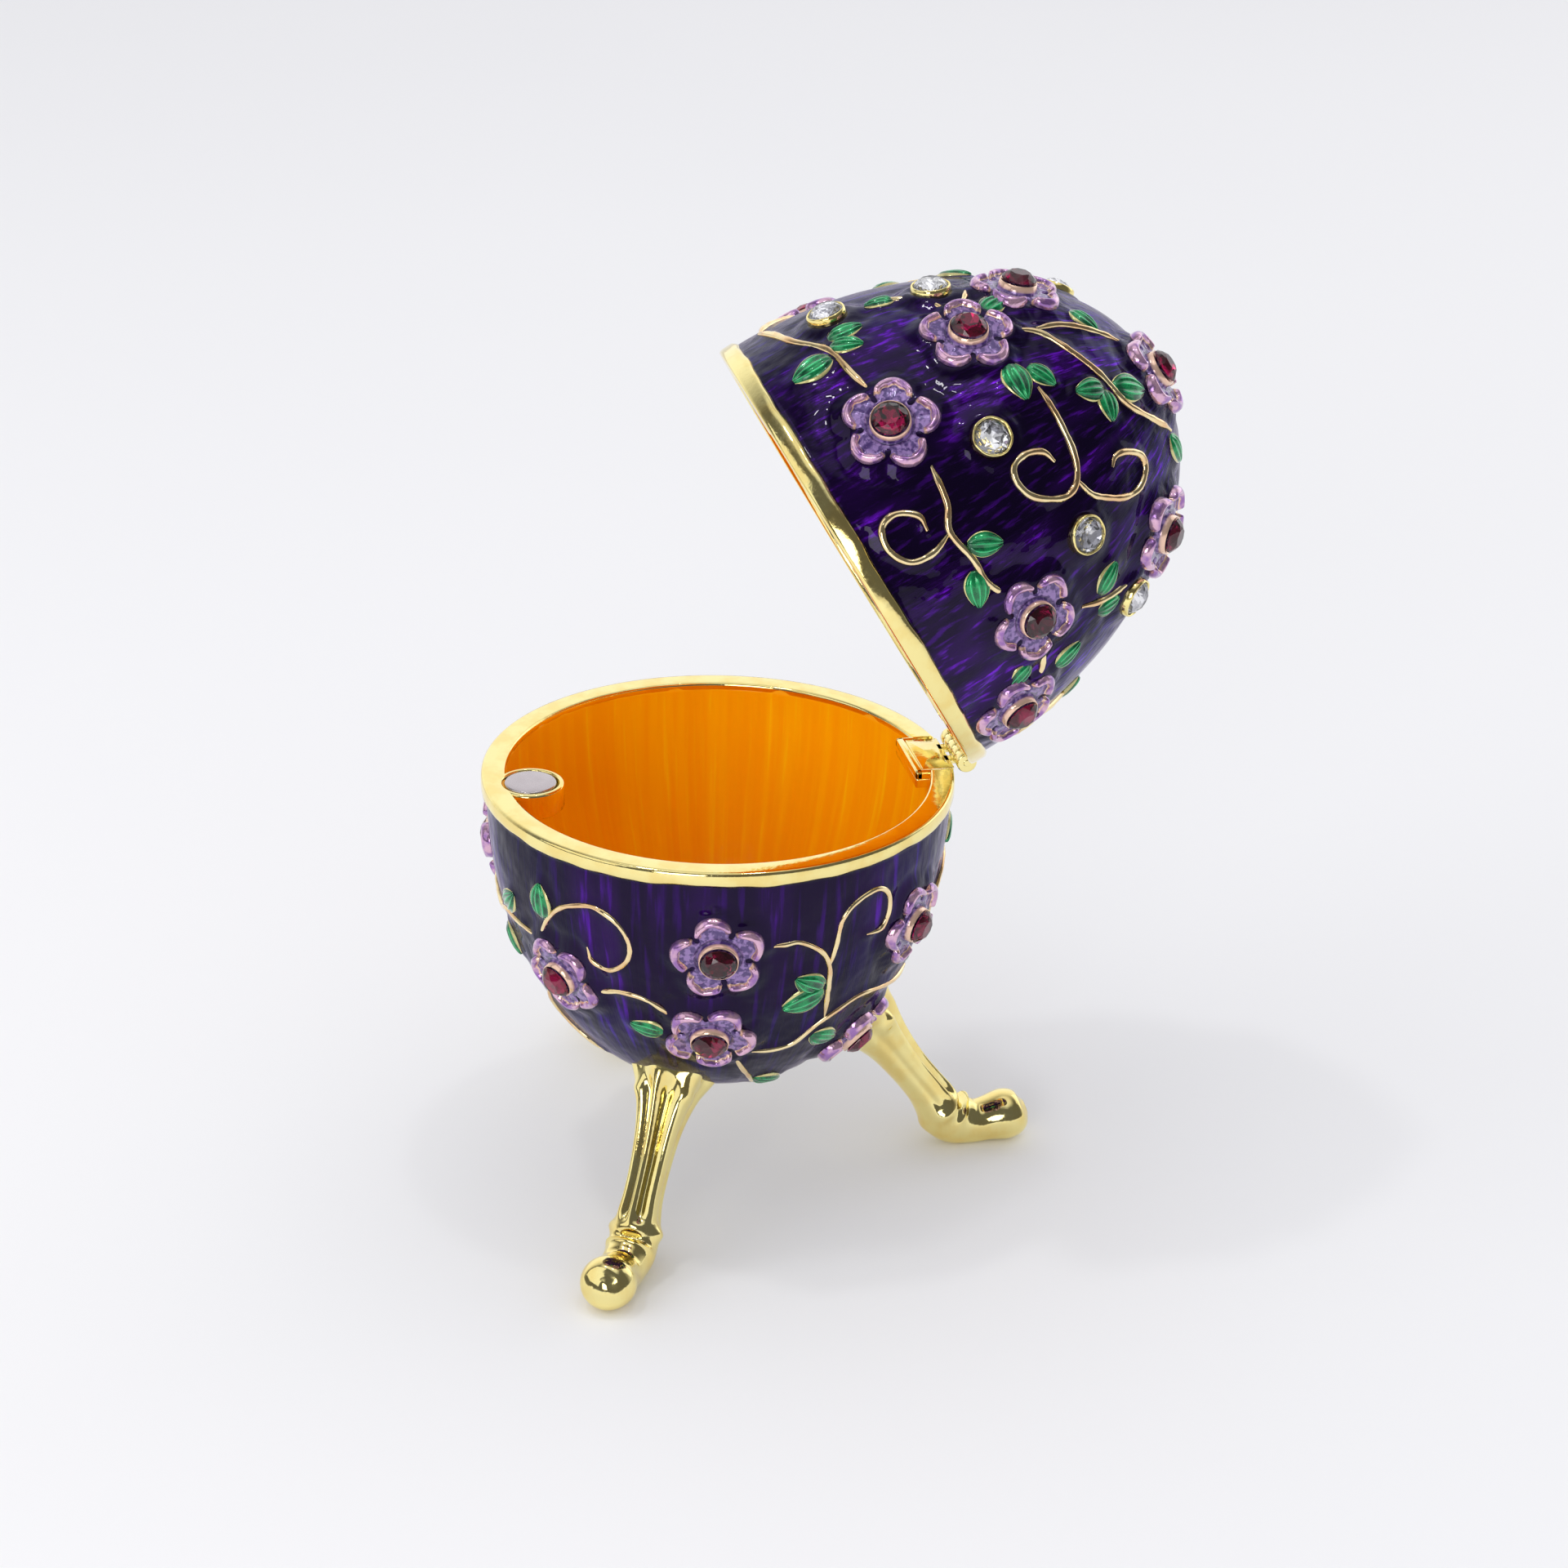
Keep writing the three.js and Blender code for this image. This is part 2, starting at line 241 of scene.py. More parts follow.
def turn_outwards(mesh: bpy.types.Mesh) -> None:
    """Turns the faces of every closed shell in a mesh outwards.

    Args:
        mesh: The mesh, changed in place.
    """
    shape = bmesh.new()
    shape.from_mesh(mesh)
    bmesh.ops.recalc_face_normals(shape, faces=shape.faces)
    shape.to_mesh(mesh)
    shape.free()


class Wiring:
    """Adds nodes to a tree and joins them."""

    def __init__(self, tree: bpy.types.NodeTree) -> None:
        """Works on the given tree."""
        self.tree = tree

    def add(self, kind: str, inputs: dict | None = None, **settings: object) -> bpy.types.Node:
        """Adds a node.

        Args:
            kind: The node's type.
            inputs: A value, or another node's output, for each input by name or number.
            **settings: The node's own properties.

        Returns:
            The new node.
        """
        node = self.tree.nodes.new(kind)
        for name, value in settings.items():
            setattr(node, name, value)
        for key, value in (inputs or {}).items():
            if isinstance(value, bpy.types.NodeSocket):
                self.tree.links.new(value, node.inputs[key])
            else:
                node.inputs[key].default_value = value
        return node

    def sum(self, operation: str, a: object, b: object = 0.0, clamp: bool = False) -> bpy.types.NodeSocket:
        """One step of arithmetic on two numbers or outputs."""
        return self.add("ShaderNodeMath", {0: a, 1: b}, operation=operation, use_clamp=clamp).outputs[0]

    def blend(self, share: object, a: object, b: object) -> bpy.types.NodeSocket:
        """A colour between a and b.

        Args:
            share: 0 for all a, 1 for all b.
            a: A colour or an output.
            b: A colour or an output.

        Returns:
            The mixed colour.
        """
        values = {0: share}
        for place, colour in ((6, a), (7, b)):
            values[place] = colour if isinstance(colour, bpy.types.NodeSocket) else (*colour, 1.0)
        return self.add("ShaderNodeMix", values, data_type="RGBA").outputs[2]

    def step(
        self, value: object, low: float, high: float, start: float = 0.0, end: float = 1.0
    ) -> bpy.types.NodeSocket:
        """Maps a value from low..high to start..end, smoothly and within them."""
        inputs = {0: value, 1: low, 2: high, 3: start, 4: end}
        return self.add("ShaderNodeMapRange", inputs, interpolation_type="SMOOTHSTEP").outputs[0]

    def noise(self, vector: bpy.types.NodeSocket, scale: float, detail: float = 2.0) -> bpy.types.NodeSocket:
        """Noise between about 0.3 and 0.7 over a vector."""
        return self.add("ShaderNodeTexNoise", {"Vector": vector, "Scale": scale, "Detail": detail}).outputs[0]

    def mark(self, name: str, vector: bool = False) -> bpy.types.NodeSocket:
        """An attribute of the mesh."""
        return self.add("ShaderNodeAttribute", attribute_name=name).outputs["Vector" if vector else "Fac"]


def group_of(name: str, inputs: dict[str, object], outputs: Sequence[str]) -> tuple[bpy.types.NodeTree, Wiring, dict]:
    """Starts a shader node group.

    Args:
        name: The group's name.
        inputs: Its inputs by name; None for a vector, or a number to start with.
        outputs: The names of the values that it puts out.

    Returns:
        The tree, its wiring, and its inputs inside the group by name, with its output node under "out".
    """
    tree = bpy.data.node_groups.new(name, "ShaderNodeTree")
    for label, value in inputs.items():
        kind = "NodeSocketVector" if value is None else "NodeSocketFloat"
        socket = tree.interface.new_socket(label, in_out="INPUT", socket_type=kind)
        if value is not None:
            socket.default_value = value
    for label in outputs:
        tree.interface.new_socket(label, in_out="OUTPUT", socket_type="NodeSocketFloat")
    wiring = Wiring(tree)
    source = wiring.add("NodeGroupInput")
    ports = {label: source.outputs[label] for label in inputs}
    ports["out"] = wiring.add("NodeGroupOutput")
    return tree, wiring, ports


class Effects:
    """The shader node groups that several finishes share."""

    def __init__(self) -> None:
        """Builds the groups."""
        self.strokes = self._brush_strokes()
        self.skin = self._cast_skin()

    def _brush_strokes(self) -> bpy.types.NodeTree:
        """Brush strokes under enamel: fine hairs, and patches where the colour is thicker.

        Returns:
            The node group.
        """
        tree, w, ports = group_of(
            "brush_strokes",
            {"Along": None, "Fineness": 1.0, "Patchiness": 0.2, "Stretch": 0.2},
            ["Hairs", "Patches", "Height"],
        )
        scale = w.add("ShaderNodeCombineXYZ", {0: 1.0, 1: 1.0, 2: ports["Stretch"]}).outputs[0]
        stretched = w.add("ShaderNodeMapping", {"Vector": ports["Along"], "Scale": scale}).outputs[0]
        fine = w.add("ShaderNodeTexNoise", {"Vector": stretched, "Scale": ports["Fineness"], "Detail": 3.0}).outputs[0]
        broad = w.add(
            "ShaderNodeTexNoise", {"Vector": stretched, "Scale": ports["Patchiness"], "Detail": 1.5}
        ).outputs[0]
        hairs = w.step(fine, 0.52, 0.70)
        patches = w.step(broad, 0.42, 0.66)
        for label, value in (("Hairs", hairs), ("Patches", patches), ("Height", fine)):
            w.tree.links.new(value, ports["out"].inputs[label])
        return tree

    def _cast_skin(self) -> bpy.types.NodeTree:
        """The slightly uneven, lightly scuffed skin of a polished casting.

        Returns:
            The node group.
        """
        tree, w, ports = group_of("cast_skin", {"Place": None, "Coarse": 260.0, "Scuff": 0.06}, ["Height", "Gloss"])
        slow = w.add("ShaderNodeTexNoise", {"Vector": ports["Place"], "Scale": ports["Coarse"], "Detail": 2.0})
        fine = w.add("ShaderNodeTexNoise", {"Vector": ports["Place"], "Scale": 2400.0, "Detail": 3.0})
        height = w.sum("ADD", slow.outputs[0], w.sum("MULTIPLY", fine.outputs[0], 0.15))
        gloss = w.sum("MULTIPLY", w.step(fine.outputs[0], 0.35, 0.7), ports["Scuff"])
        w.tree.links.new(height, ports["out"].inputs["Height"])
        w.tree.links.new(gloss, ports["out"].inputs["Gloss"])
        return tree


@dataclass(frozen=True)
class Finish:
    """A finish: its name, and the plain values that are the same all over it."""

    name: str
    metallic: float = 0.0
    coat: float = 0.0
    coat_roughness: float = 0.03
    coat_ior: float = 1.5
    ior: float = 1.5
    specular: float = 0.5

    def material(self, effects: Effects) -> bpy.types.Material:
        """Makes the finish's material, or returns it if it is made already.

        Args:
            effects: The shared node groups.

        Returns:
            The material.
        """
        made = bpy.data.materials.get(self.name)
        if made is None:
            made = bpy.data.materials.new(self.name)
            made.use_nodes = True
            surface = made.node_tree.nodes["Principled BSDF"]
            for socket, value in (
                ("Metallic", self.metallic),
                ("Coat Weight", self.coat),
                ("Coat Roughness", self.coat_roughness),
                ("Coat IOR", self.coat_ior),
                ("Specular IOR Level", self.specular),
                ("IOR", self.ior),
            ):
                surface.inputs[socket].default_value = value
            self.colour(Wiring(made.node_tree), surface, effects)
        return made

    def colour(self, w: Wiring, surface: bpy.types.Node, effects: Effects) -> None:
        """Wires what changes over the surface into the shader."""
        raise NotImplementedError

    def bump(self, w: Wiring, surface: bpy.types.Node, height: object, depth: float) -> None:
        """Feeds a height into the shader's normal, with its depth in metres."""
        node = w.add("ShaderNodeBump", {"Height": height, "Distance": depth})
        w.tree.links.new(node.outputs[0], surface.inputs["Normal"])

    def skin(self, w: Wiring, effects: Effects, coarse: float, scuff: float) -> bpy.types.Node:
        """Places the cast skin group on Object coordinates."""
        place = w.add("ShaderNodeTexCoord").outputs["Object"]
        return self._group(w, effects.skin, {"Place": place, "Coarse": coarse, "Scuff": scuff})

    def _group(self, w: Wiring, tree: bpy.types.NodeTree, values: dict) -> bpy.types.Node:
        """Places a shared group with its values.

        Args:
            w: The wiring of the finish's material.
            tree: The group.
            values: A value or an output for each of its inputs, by name.

        Returns:
            The placed group.
        """
        node = w.tree.nodes.new("ShaderNodeGroup")
        node.node_tree = tree
        for key, value in values.items():
            if isinstance(value, bpy.types.NodeSocket):
                w.tree.links.new(value, node.inputs[key])
            else:
                node.inputs[key].default_value = value
        return node


@dataclass(frozen=True)
class BrushedEnamel(Finish):
    """Translucent enamel over a brushed metal ground, under a clear glassy coat."""

    deep: Colour = (0.007, 0.001, 0.024)
    body: Colour = (0.034, 0.0025, 0.115)
    glint: Colour = (0.20, 0.010, 0.75)
    fringe: Colour = (0.20, 0.04, 0.45)  # the metal ground's tint where it is seen edge on
    fineness: float = 1.5
    patchiness: float = 0.22
    stretch: float = 0.22  # how short the strokes are, from long at 0 to round at 1
    roughness: float = 0.26
    depth: float = 0.00014
    lump_depth: float = 0.0005
    lump_count: float = 230.0  # lumps in the glassy coat, to a metre

    def colour(self, w: Wiring, surface: bpy.types.Node, effects: Effects) -> None:
        """Strokes and patches, with painted shade round each relief and along the rim.

        Args:
            w: The wiring of the finish's material.
            surface: The material's shader.
            effects: The shared node groups.
        """
        values = {
            "Along": w.mark("brush", True),
            "Fineness": self.fineness,
            "Patchiness": self.patchiness,
            "Stretch": self.stretch,
        }
        strokes = self._group(w, effects.strokes, values)
        shade = w.blend(strokes.outputs["Patches"], self.deep, self.body)
        bright = w.sum("MULTIPLY", strokes.outputs["Hairs"], w.step(strokes.outputs["Patches"], 0.1, 0.9, 0.25, 1.0))
        shade = w.blend(bright, shade, self.glint)
        # Painted shade: the deep colour round each relief and along the rim, from the pool mark.
        shade = w.blend(w.sum("MULTIPLY", w.mark("pool"), 0.92, True), shade, self.deep)
        w.tree.links.new(shade, surface.inputs["Base Color"])
        surface.inputs["Roughness"].default_value = self.roughness
        surface.inputs["Specular Tint"].default_value = (*self.fringe, 1.0)
        self.bump(w, surface, strokes.outputs["Height"], self.depth)
        place = w.add("ShaderNodeTexCoord").outputs["Object"]
        lumps = w.add("ShaderNodeBump", {"Height": w.noise(place, self.lump_count), "Distance": self.lump_depth})
        w.tree.links.new(lumps.outputs[0], surface.inputs["Coat Normal"])


@dataclass(frozen=True)
class PolishedGold(Finish):
    """Pale gold plate over a polished casting."""

    bright: Colour = (0.99, 0.86, 0.37)
    warm: Colour = (0.95, 0.76, 0.28)
    depth: float = 0.00006

    def colour(self, w: Wiring, surface: bpy.types.Node, effects: Effects) -> None:
        """A little warmer in patches, and uneven in gloss and height.

        Args:
            w: The wiring of the finish's material.
            surface: The material's shader.
            effects: The shared node groups.
        """
        skin = self.skin(w, effects, 300.0, 0.06)
        shade = w.blend(w.step(skin.outputs["Height"], 0.45, 0.75), self.bright, self.warm)
        w.tree.links.new(shade, surface.inputs["Base Color"])
        w.tree.links.new(w.sum("ADD", skin.outputs["Gloss"], 0.07), surface.inputs["Roughness"])
        self.bump(w, surface, skin.outputs["Height"], self.depth)


@dataclass(frozen=True)
class PetalEnamel(Finish):
    """Lavender enamel in each petal, with a rose-gold lip, and painted shade in the notches and the groove."""

    lavender: Colour = (0.075, 0.038, 0.17)
    lilac: Colour = (0.29, 0.18, 0.44)
    rose: Colour = (0.76, 0.46, 0.62)
    dusk: Colour = (0.34, 0.16, 0.46)
    edge: Colour = (0.90, 0.60, 0.44)
    # painted shade in the notches between petals and in the groove
    painted_notch_shade: Colour = (0.012, 0.004, 0.03)

    def colour(self, w: Wiring, surface: bpy.types.Node, effects: Effects) -> None:
        """Mottled lavender inside the lip, gold along its edge, rose on its crest.

        Args:
            w: The wiring of the finish's material.
            surface: The material's shader.
            effects: The shared node groups.
        """
        skin = self.skin(w, effects, 700.0, 0.08)
        lip, pit = w.mark("lip"), w.mark("pit")
        grain = w.noise(w.add("ShaderNodeTexCoord").outputs["Object"], 1700.0, 3.0)
        mottle = w.step(grain, 0.42, 0.60)
        shade = w.blend(mottle, self.lavender, self.lilac)
        shade = w.blend(w.step(lip, 0.12, 0.35), shade, self.edge)
        pearl = w.blend(w.step(skin.outputs["Height"], 0.45, 0.70), self.rose, self.dusk)
        shade = w.blend(w.step(lip, 0.45, 0.8), shade, pearl)
        # Painted shade in the notches and the groove round the bezel.
        shade = w.blend(w.step(pit, 0.2, 0.9), shade, self.painted_notch_shade)
        w.tree.links.new(shade, surface.inputs["Base Color"])
        w.tree.links.new(w.step(lip, 0.1, 0.5, 0.25, 0.75), surface.inputs["Metallic"])
        w.tree.links.new(w.sum("ADD", skin.outputs["Gloss"], 0.13), surface.inputs["Roughness"])
        self.bump(w, surface, skin.outputs["Height"], 0.00012)


@dataclass(frozen=True)
class LeafEnamel(Finish):
    """Emerald enamel with a painted highlight along its ribs, and a thread of gold at the edge."""

    emerald: Colour = (0.0, 0.28, 0.08)
    # painted highlight colour along the raised ribs
    rib_highlight: Colour = (0.06, 0.74, 0.27)
    deep: Colour = (0.0, 0.07, 0.028)
    edge: Colour = (0.75, 0.66, 0.28)

    def colour(self, w: Wiring, surface: bpy.types.Node, effects: Effects) -> None:
        """Painted highlight: lighter green along the ribs.

        Args:
            w: The wiring of the finish's material.
            surface: The material's shader.
            effects: The shared node groups.
        """
        skin = self.skin(w, effects, 700.0, 0.15)
        depth = w.step(skin.outputs["Height"], 0.4, 0.75)
        shade = w.blend(depth, self.deep, self.emerald)
        # Painted highlight along the raised ribs.
        shade = w.blend(w.step(w.mark("rib"), 0.6, 1.1), shade, self.rib_highlight)
        shade = w.blend(w.step(w.mark("rim"), 0.5, 0.9), shade, self.edge)
        w.tree.links.new(shade, surface.inputs["Base Color"])
        w.tree.links.new(w.sum("ADD", skin.outputs["Gloss"], 0.18), surface.inputs["Roughness"])
        self.bump(w, surface, skin.outputs["Height"], 0.00006)


@dataclass(frozen=True)
class CutGlass(Finish):
    """Clear or coloured cut glass."""

    tint: Colour = (1.0, 1.0, 1.0)
    cloud: Colour = (0.9, 0.9, 0.95)

    def colour(self, w: Wiring, surface: bpy.types.Node, effects: Effects) -> None:
        """A faint unevenness in the melt.

        Args:
            w: The wiring of the finish's material.
            surface: The material's shader.
            effects: The shared node groups.
        """
        surface.inputs["Transmission Weight"].default_value = 1.0
        surface.inputs["Roughness"].default_value = 0.0
        place = w.add("ShaderNodeTexCoord").outputs["Object"]
        shade = w.blend(w.step(w.noise(place, 500.0), 0.35, 0.65), self.tint, self.cloud)
        w.tree.links.new(shade, surface.inputs["Base Color"])


@dataclass(frozen=True)
class MirrorFoil(Finish):
    """The mirror foil behind a cut stone."""

    tint: Colour = (1.0, 1.0, 1.0)
    shadow: Colour = (0.35, 0.35, 0.38)

    def colour(self, w: Wiring, surface: bpy.types.Node, effects: Effects) -> None:
        """Patches of silvering and of painted shadow, for the stone's darker facets.

        Args:
            w: The wiring of the finish's material.
            surface: The material's shader.
            effects: The shared node groups.
        """
        surface.inputs["Roughness"].default_value = 0.04
        place = w.add("ShaderNodeTexCoord").outputs["Object"]
        shade = w.blend(w.step(w.noise(place, 450.0), 0.49, 0.53), self.tint, self.shadow)
        w.tree.links.new(shade, surface.inputs["Base Color"])


@dataclass(frozen=True)
class PlatedMagnet(Finish):
    """Nickel plate on a pressed magnet."""

    nickel: Colour = (0.52, 0.47, 0.48)
    worn: Colour = (0.56, 0.51, 0.52)

    def colour(self, w: Wiring, surface: bpy.types.Node, effects: Effects) -> None:
        """Even grey metal with small scuffs.

        Args:
            w: The wiring of the finish's material.
            surface: The material's shader.
            effects: The shared node groups.
        """
        skin = self.skin(w, effects, 600.0, 0.06)
        shade = w.blend(w.step(skin.outputs["Height"], 0.4, 0.8), self.nickel, self.worn)
        w.tree.links.new(shade, surface.inputs["Base Color"])
        w.tree.links.new(w.sum("ADD", skin.outputs["Gloss"], 0.25), surface.inputs["Roughness"])
        self.bump(w, surface, skin.outputs["Height"], 0.00001)


VIOLET = BrushedEnamel("violet_enamel", metallic=0.75, coat=0.5, coat_roughness=0.012, coat_ior=1.42, specular=0.15)
UPRIGHT_VIOLET = BrushedEnamel(
    "violet_enamel_upright",
    metallic=0.75,
    coat=0.5,
    coat_roughness=0.012,
    coat_ior=1.38,
    specular=0.15,
    body=(0.026, 0.002, 0.085),
    glint=(0.10, 0.006, 0.40),
    fineness=0.95,
    patchiness=0.17,
    stretch=0.09,
)
AMBER = BrushedEnamel(
    "amber_enamel",
    coat=0.25,
    coat_roughness=0.12,
    coat_ior=1.4,
    specular=0.15,
    deep=(0.95, 0.38, 0.0),
    body=(0.97, 0.44, 0.0),
    glint=(0.98, 0.54, 0.002),
    fringe=(1.0, 0.7, 0.2),
    patchiness=0.5,
    stretch=0.04,
    roughness=0.5,
    depth=0.00004,
    lump_depth=0.0002,
)
GOLD = PolishedGold("gold_plate", metallic=1.0)
ROSE_GOLD = PolishedGold("rose_gold_wire", metallic=1.0, bright=(0.99, 0.82, 0.46), warm=(0.88, 0.58, 0.30))
PETAL = PetalEnamel("petal_enamel", coat=0.7, coat_roughness=0.06)
LEAF = LeafEnamel("leaf_enamel", metallic=0.5, coat=1.0, coat_ior=1.42)
AMETHYST = CutGlass("amethyst_glass", ior=1.6, tint=(0.42, 0.05, 0.16), cloud=(0.36, 0.03, 0.13))
AMETHYST_FOIL = MirrorFoil("amethyst_foil", metallic=1.0, tint=(0.65, 0.08, 0.32), shadow=(0.14, 0.006, 0.06))
CRYSTAL = CutGlass("crystal_glass", ior=1.6)
CRYSTAL_FOIL = MirrorFoil("crystal_foil", metallic=0.85)
MAGNET = PlatedMagnet("nickel_plate", metallic=1.0)


# ---- where things are ----
@dataclass(frozen=True)
class Place:
    """A place on a half: azimuth (0 is +X, 90 the hinge), latitude from rim to pole, and a heading, in degrees.

    The heading is measured from the rim's direction towards the pole.
    """

    azimuth: float
    latitude: float
    heading: float = 0.0
    size: float = 1.0


@dataclass(frozen=True)
class HalfForm:
    """One half's form: a superellipse of revolution above or below a plain rim band."""

    body: Body
    up: int
    rim: float
    band: float
    radius: float
    height: float
    bulge: float
    crown: float
    step: float = 0.5

    def meridian(self, latitude: np.ndarray, grow: float = 0.0) -> tuple[np.ndarray, np.ndarray]:
        """Radius and height above the rim at latitudes in degrees, grown outwards by some millimetres.

        Args:
            latitude: Latitudes from 0 at the rim to 90 at the pole.
            grow: How far out the surface is moved, in millimetres.

        Returns:
            The radius and the height at each latitude.
        """
        angle = np.radians(latitude)
        radius = (self.radius + grow) * np.maximum(np.cos(angle), 0) ** (2 / self.bulge)
        height = self.band + self.step + (self.height + grow) * np.sin(angle) ** (2 / self.crown)
        return radius, height

    def points(self, azimuth: np.ndarray, latitude: np.ndarray) -> np.ndarray:
        """Points of the outer surface.

        Args:
            azimuth: Azimuths in degrees.
            latitude: Latitudes in degrees.

        Returns:
            A point for each pair.
        """
        radius, height = self.meridian(latitude)
        turn = np.radians(azimuth)
        return np.stack([radius * np.cos(turn), radius * np.sin(turn), self.rim + self.up * height], -1)

    def outwards(self, points: np.ndarray) -> np.ndarray:
        """The outward directions at points on or near the surface.

        Args:
            points: Points in millimetres.

        Returns:
            A unit vector for each point.
        """
        radius = np.hypot(points[..., 0], points[..., 1]) + 1e-9
        rise = np.maximum(self.up * (points[..., 2] - self.rim) - self.band - self.step, 0)
        flat = (self.bulge / self.radius) * (radius / self.radius) ** (self.bulge - 1)
        steep = (self.crown / self.height) * (rise / self.height) ** (self.crown - 1)
        out = np.stack([flat * points[..., 0] / radius, flat * points[..., 1] / radius, self.up * steep], -1)
        return out / np.linalg.norm(out, axis=-1, keepdims=True)

    def fullness(self, points: np.ndarray, grow: float = 0.0) -> np.ndarray:
        """Below 1 inside the outer form grown by some millimetres, above 1 outside it.

        Args:
            points: Points in millimetres.
            grow: How far out the surface is moved, in millimetres.

        Returns:
            A share for each point.
        """
        radius = np.hypot(points[..., 0], points[..., 1])
        rise = np.maximum(self.up * (points[..., 2] - self.rim) - self.band - self.step, 0)
        return (radius / (self.radius + grow)) ** self.bulge + (rise / (self.height + grow)) ** self.crown

    def onto(self, points: np.ndarray, grow: float = 0.0) -> np.ndarray:
        """Moves points straight out from the half's middle, or in, onto the surface grown by some millimetres.

        Args:
            points: Points in millimetres.
            grow: How far out the surface is moved, in millimetres.

        Returns:
            The moved points.
        """
        middle = np.array([0.0, 0.0, self.rim + self.up * (self.band + self.step)])
        ray = points - middle
        low, high = np.full(points.shape[:-1], 0.05), np.full(points.shape[:-1], 20.0)
        for _ in range(40):
            half = (low + high) / 2
            inside = self.fullness(middle + ray * half[..., None], grow) < 1
            low, high = np.where(inside, half, low), np.where(inside, high, half)
        return middle + ray * low[..., None]

    def seat(self, place: Place, lift: float = 0.0) -> Matrix:
        """The frame of a place: X along its heading, Z out of the surface, at a height above it.

        Args:
            place: The place.
            lift: Its height above the surface.

        Returns:
            The frame, in millimetres.
        """
        spot = self.points(np.array(place.azimuth), np.array(place.latitude))
        normal = Vector(self.outwards(spot))
        turn = math.radians(place.azimuth)
        along = Vector((-math.sin(turn), math.cos(turn), 0))
        polewards = normal.cross(along) * self.up
        heading = math.radians(place.heading)
        ahead = (along * math.cos(heading) + polewards * math.sin(heading)).normalized()
        across = normal.cross(ahead)
        frame_ = Matrix((ahead, across, normal)).transposed().to_4x4()
        frame_.translation = Vector(spot) + normal * lift
        return frame_


class EggFrame:
    """Takes millimetres on the closed egg to metres in the row frame, for each body."""

    def __init__(self, joint: dict) -> None:
        """Reads the egg's place from the lid's hinge, and how far the lid stands open from its range.

        Args:
            joint: The lid's hinge, as the frame records it.
        """
        hinge = Vector(joint["pos_m"]) * 1000
        to_row = Matrix.Scale(0.001, 4) @ Matrix.Translation(hinge - Vector((0, HINGE_Y, HINGE_Z)))
        axis = Matrix.Translation((0, HINGE_Y, HINGE_Z))
        swing = axis @ Matrix.Rotation(-math.radians(joint["range_deg"][1]), 4, "X") @ axis.inverted()
        self.to_row = {Body.BASE: to_row, Body.LID: to_row @ swing}
        self.rim_centre = to_row @ Vector((0, 0, 0))


BOWL_FORM = HalfForm(Body.BASE, -1, 0.0, 1.5, 27.0, 36.5, 2.2, 2.0)
LID_FORM = HalfForm(Body.LID, 1, 0.3, 1.8, 27.0, 39.0, 2.0, 1.95)


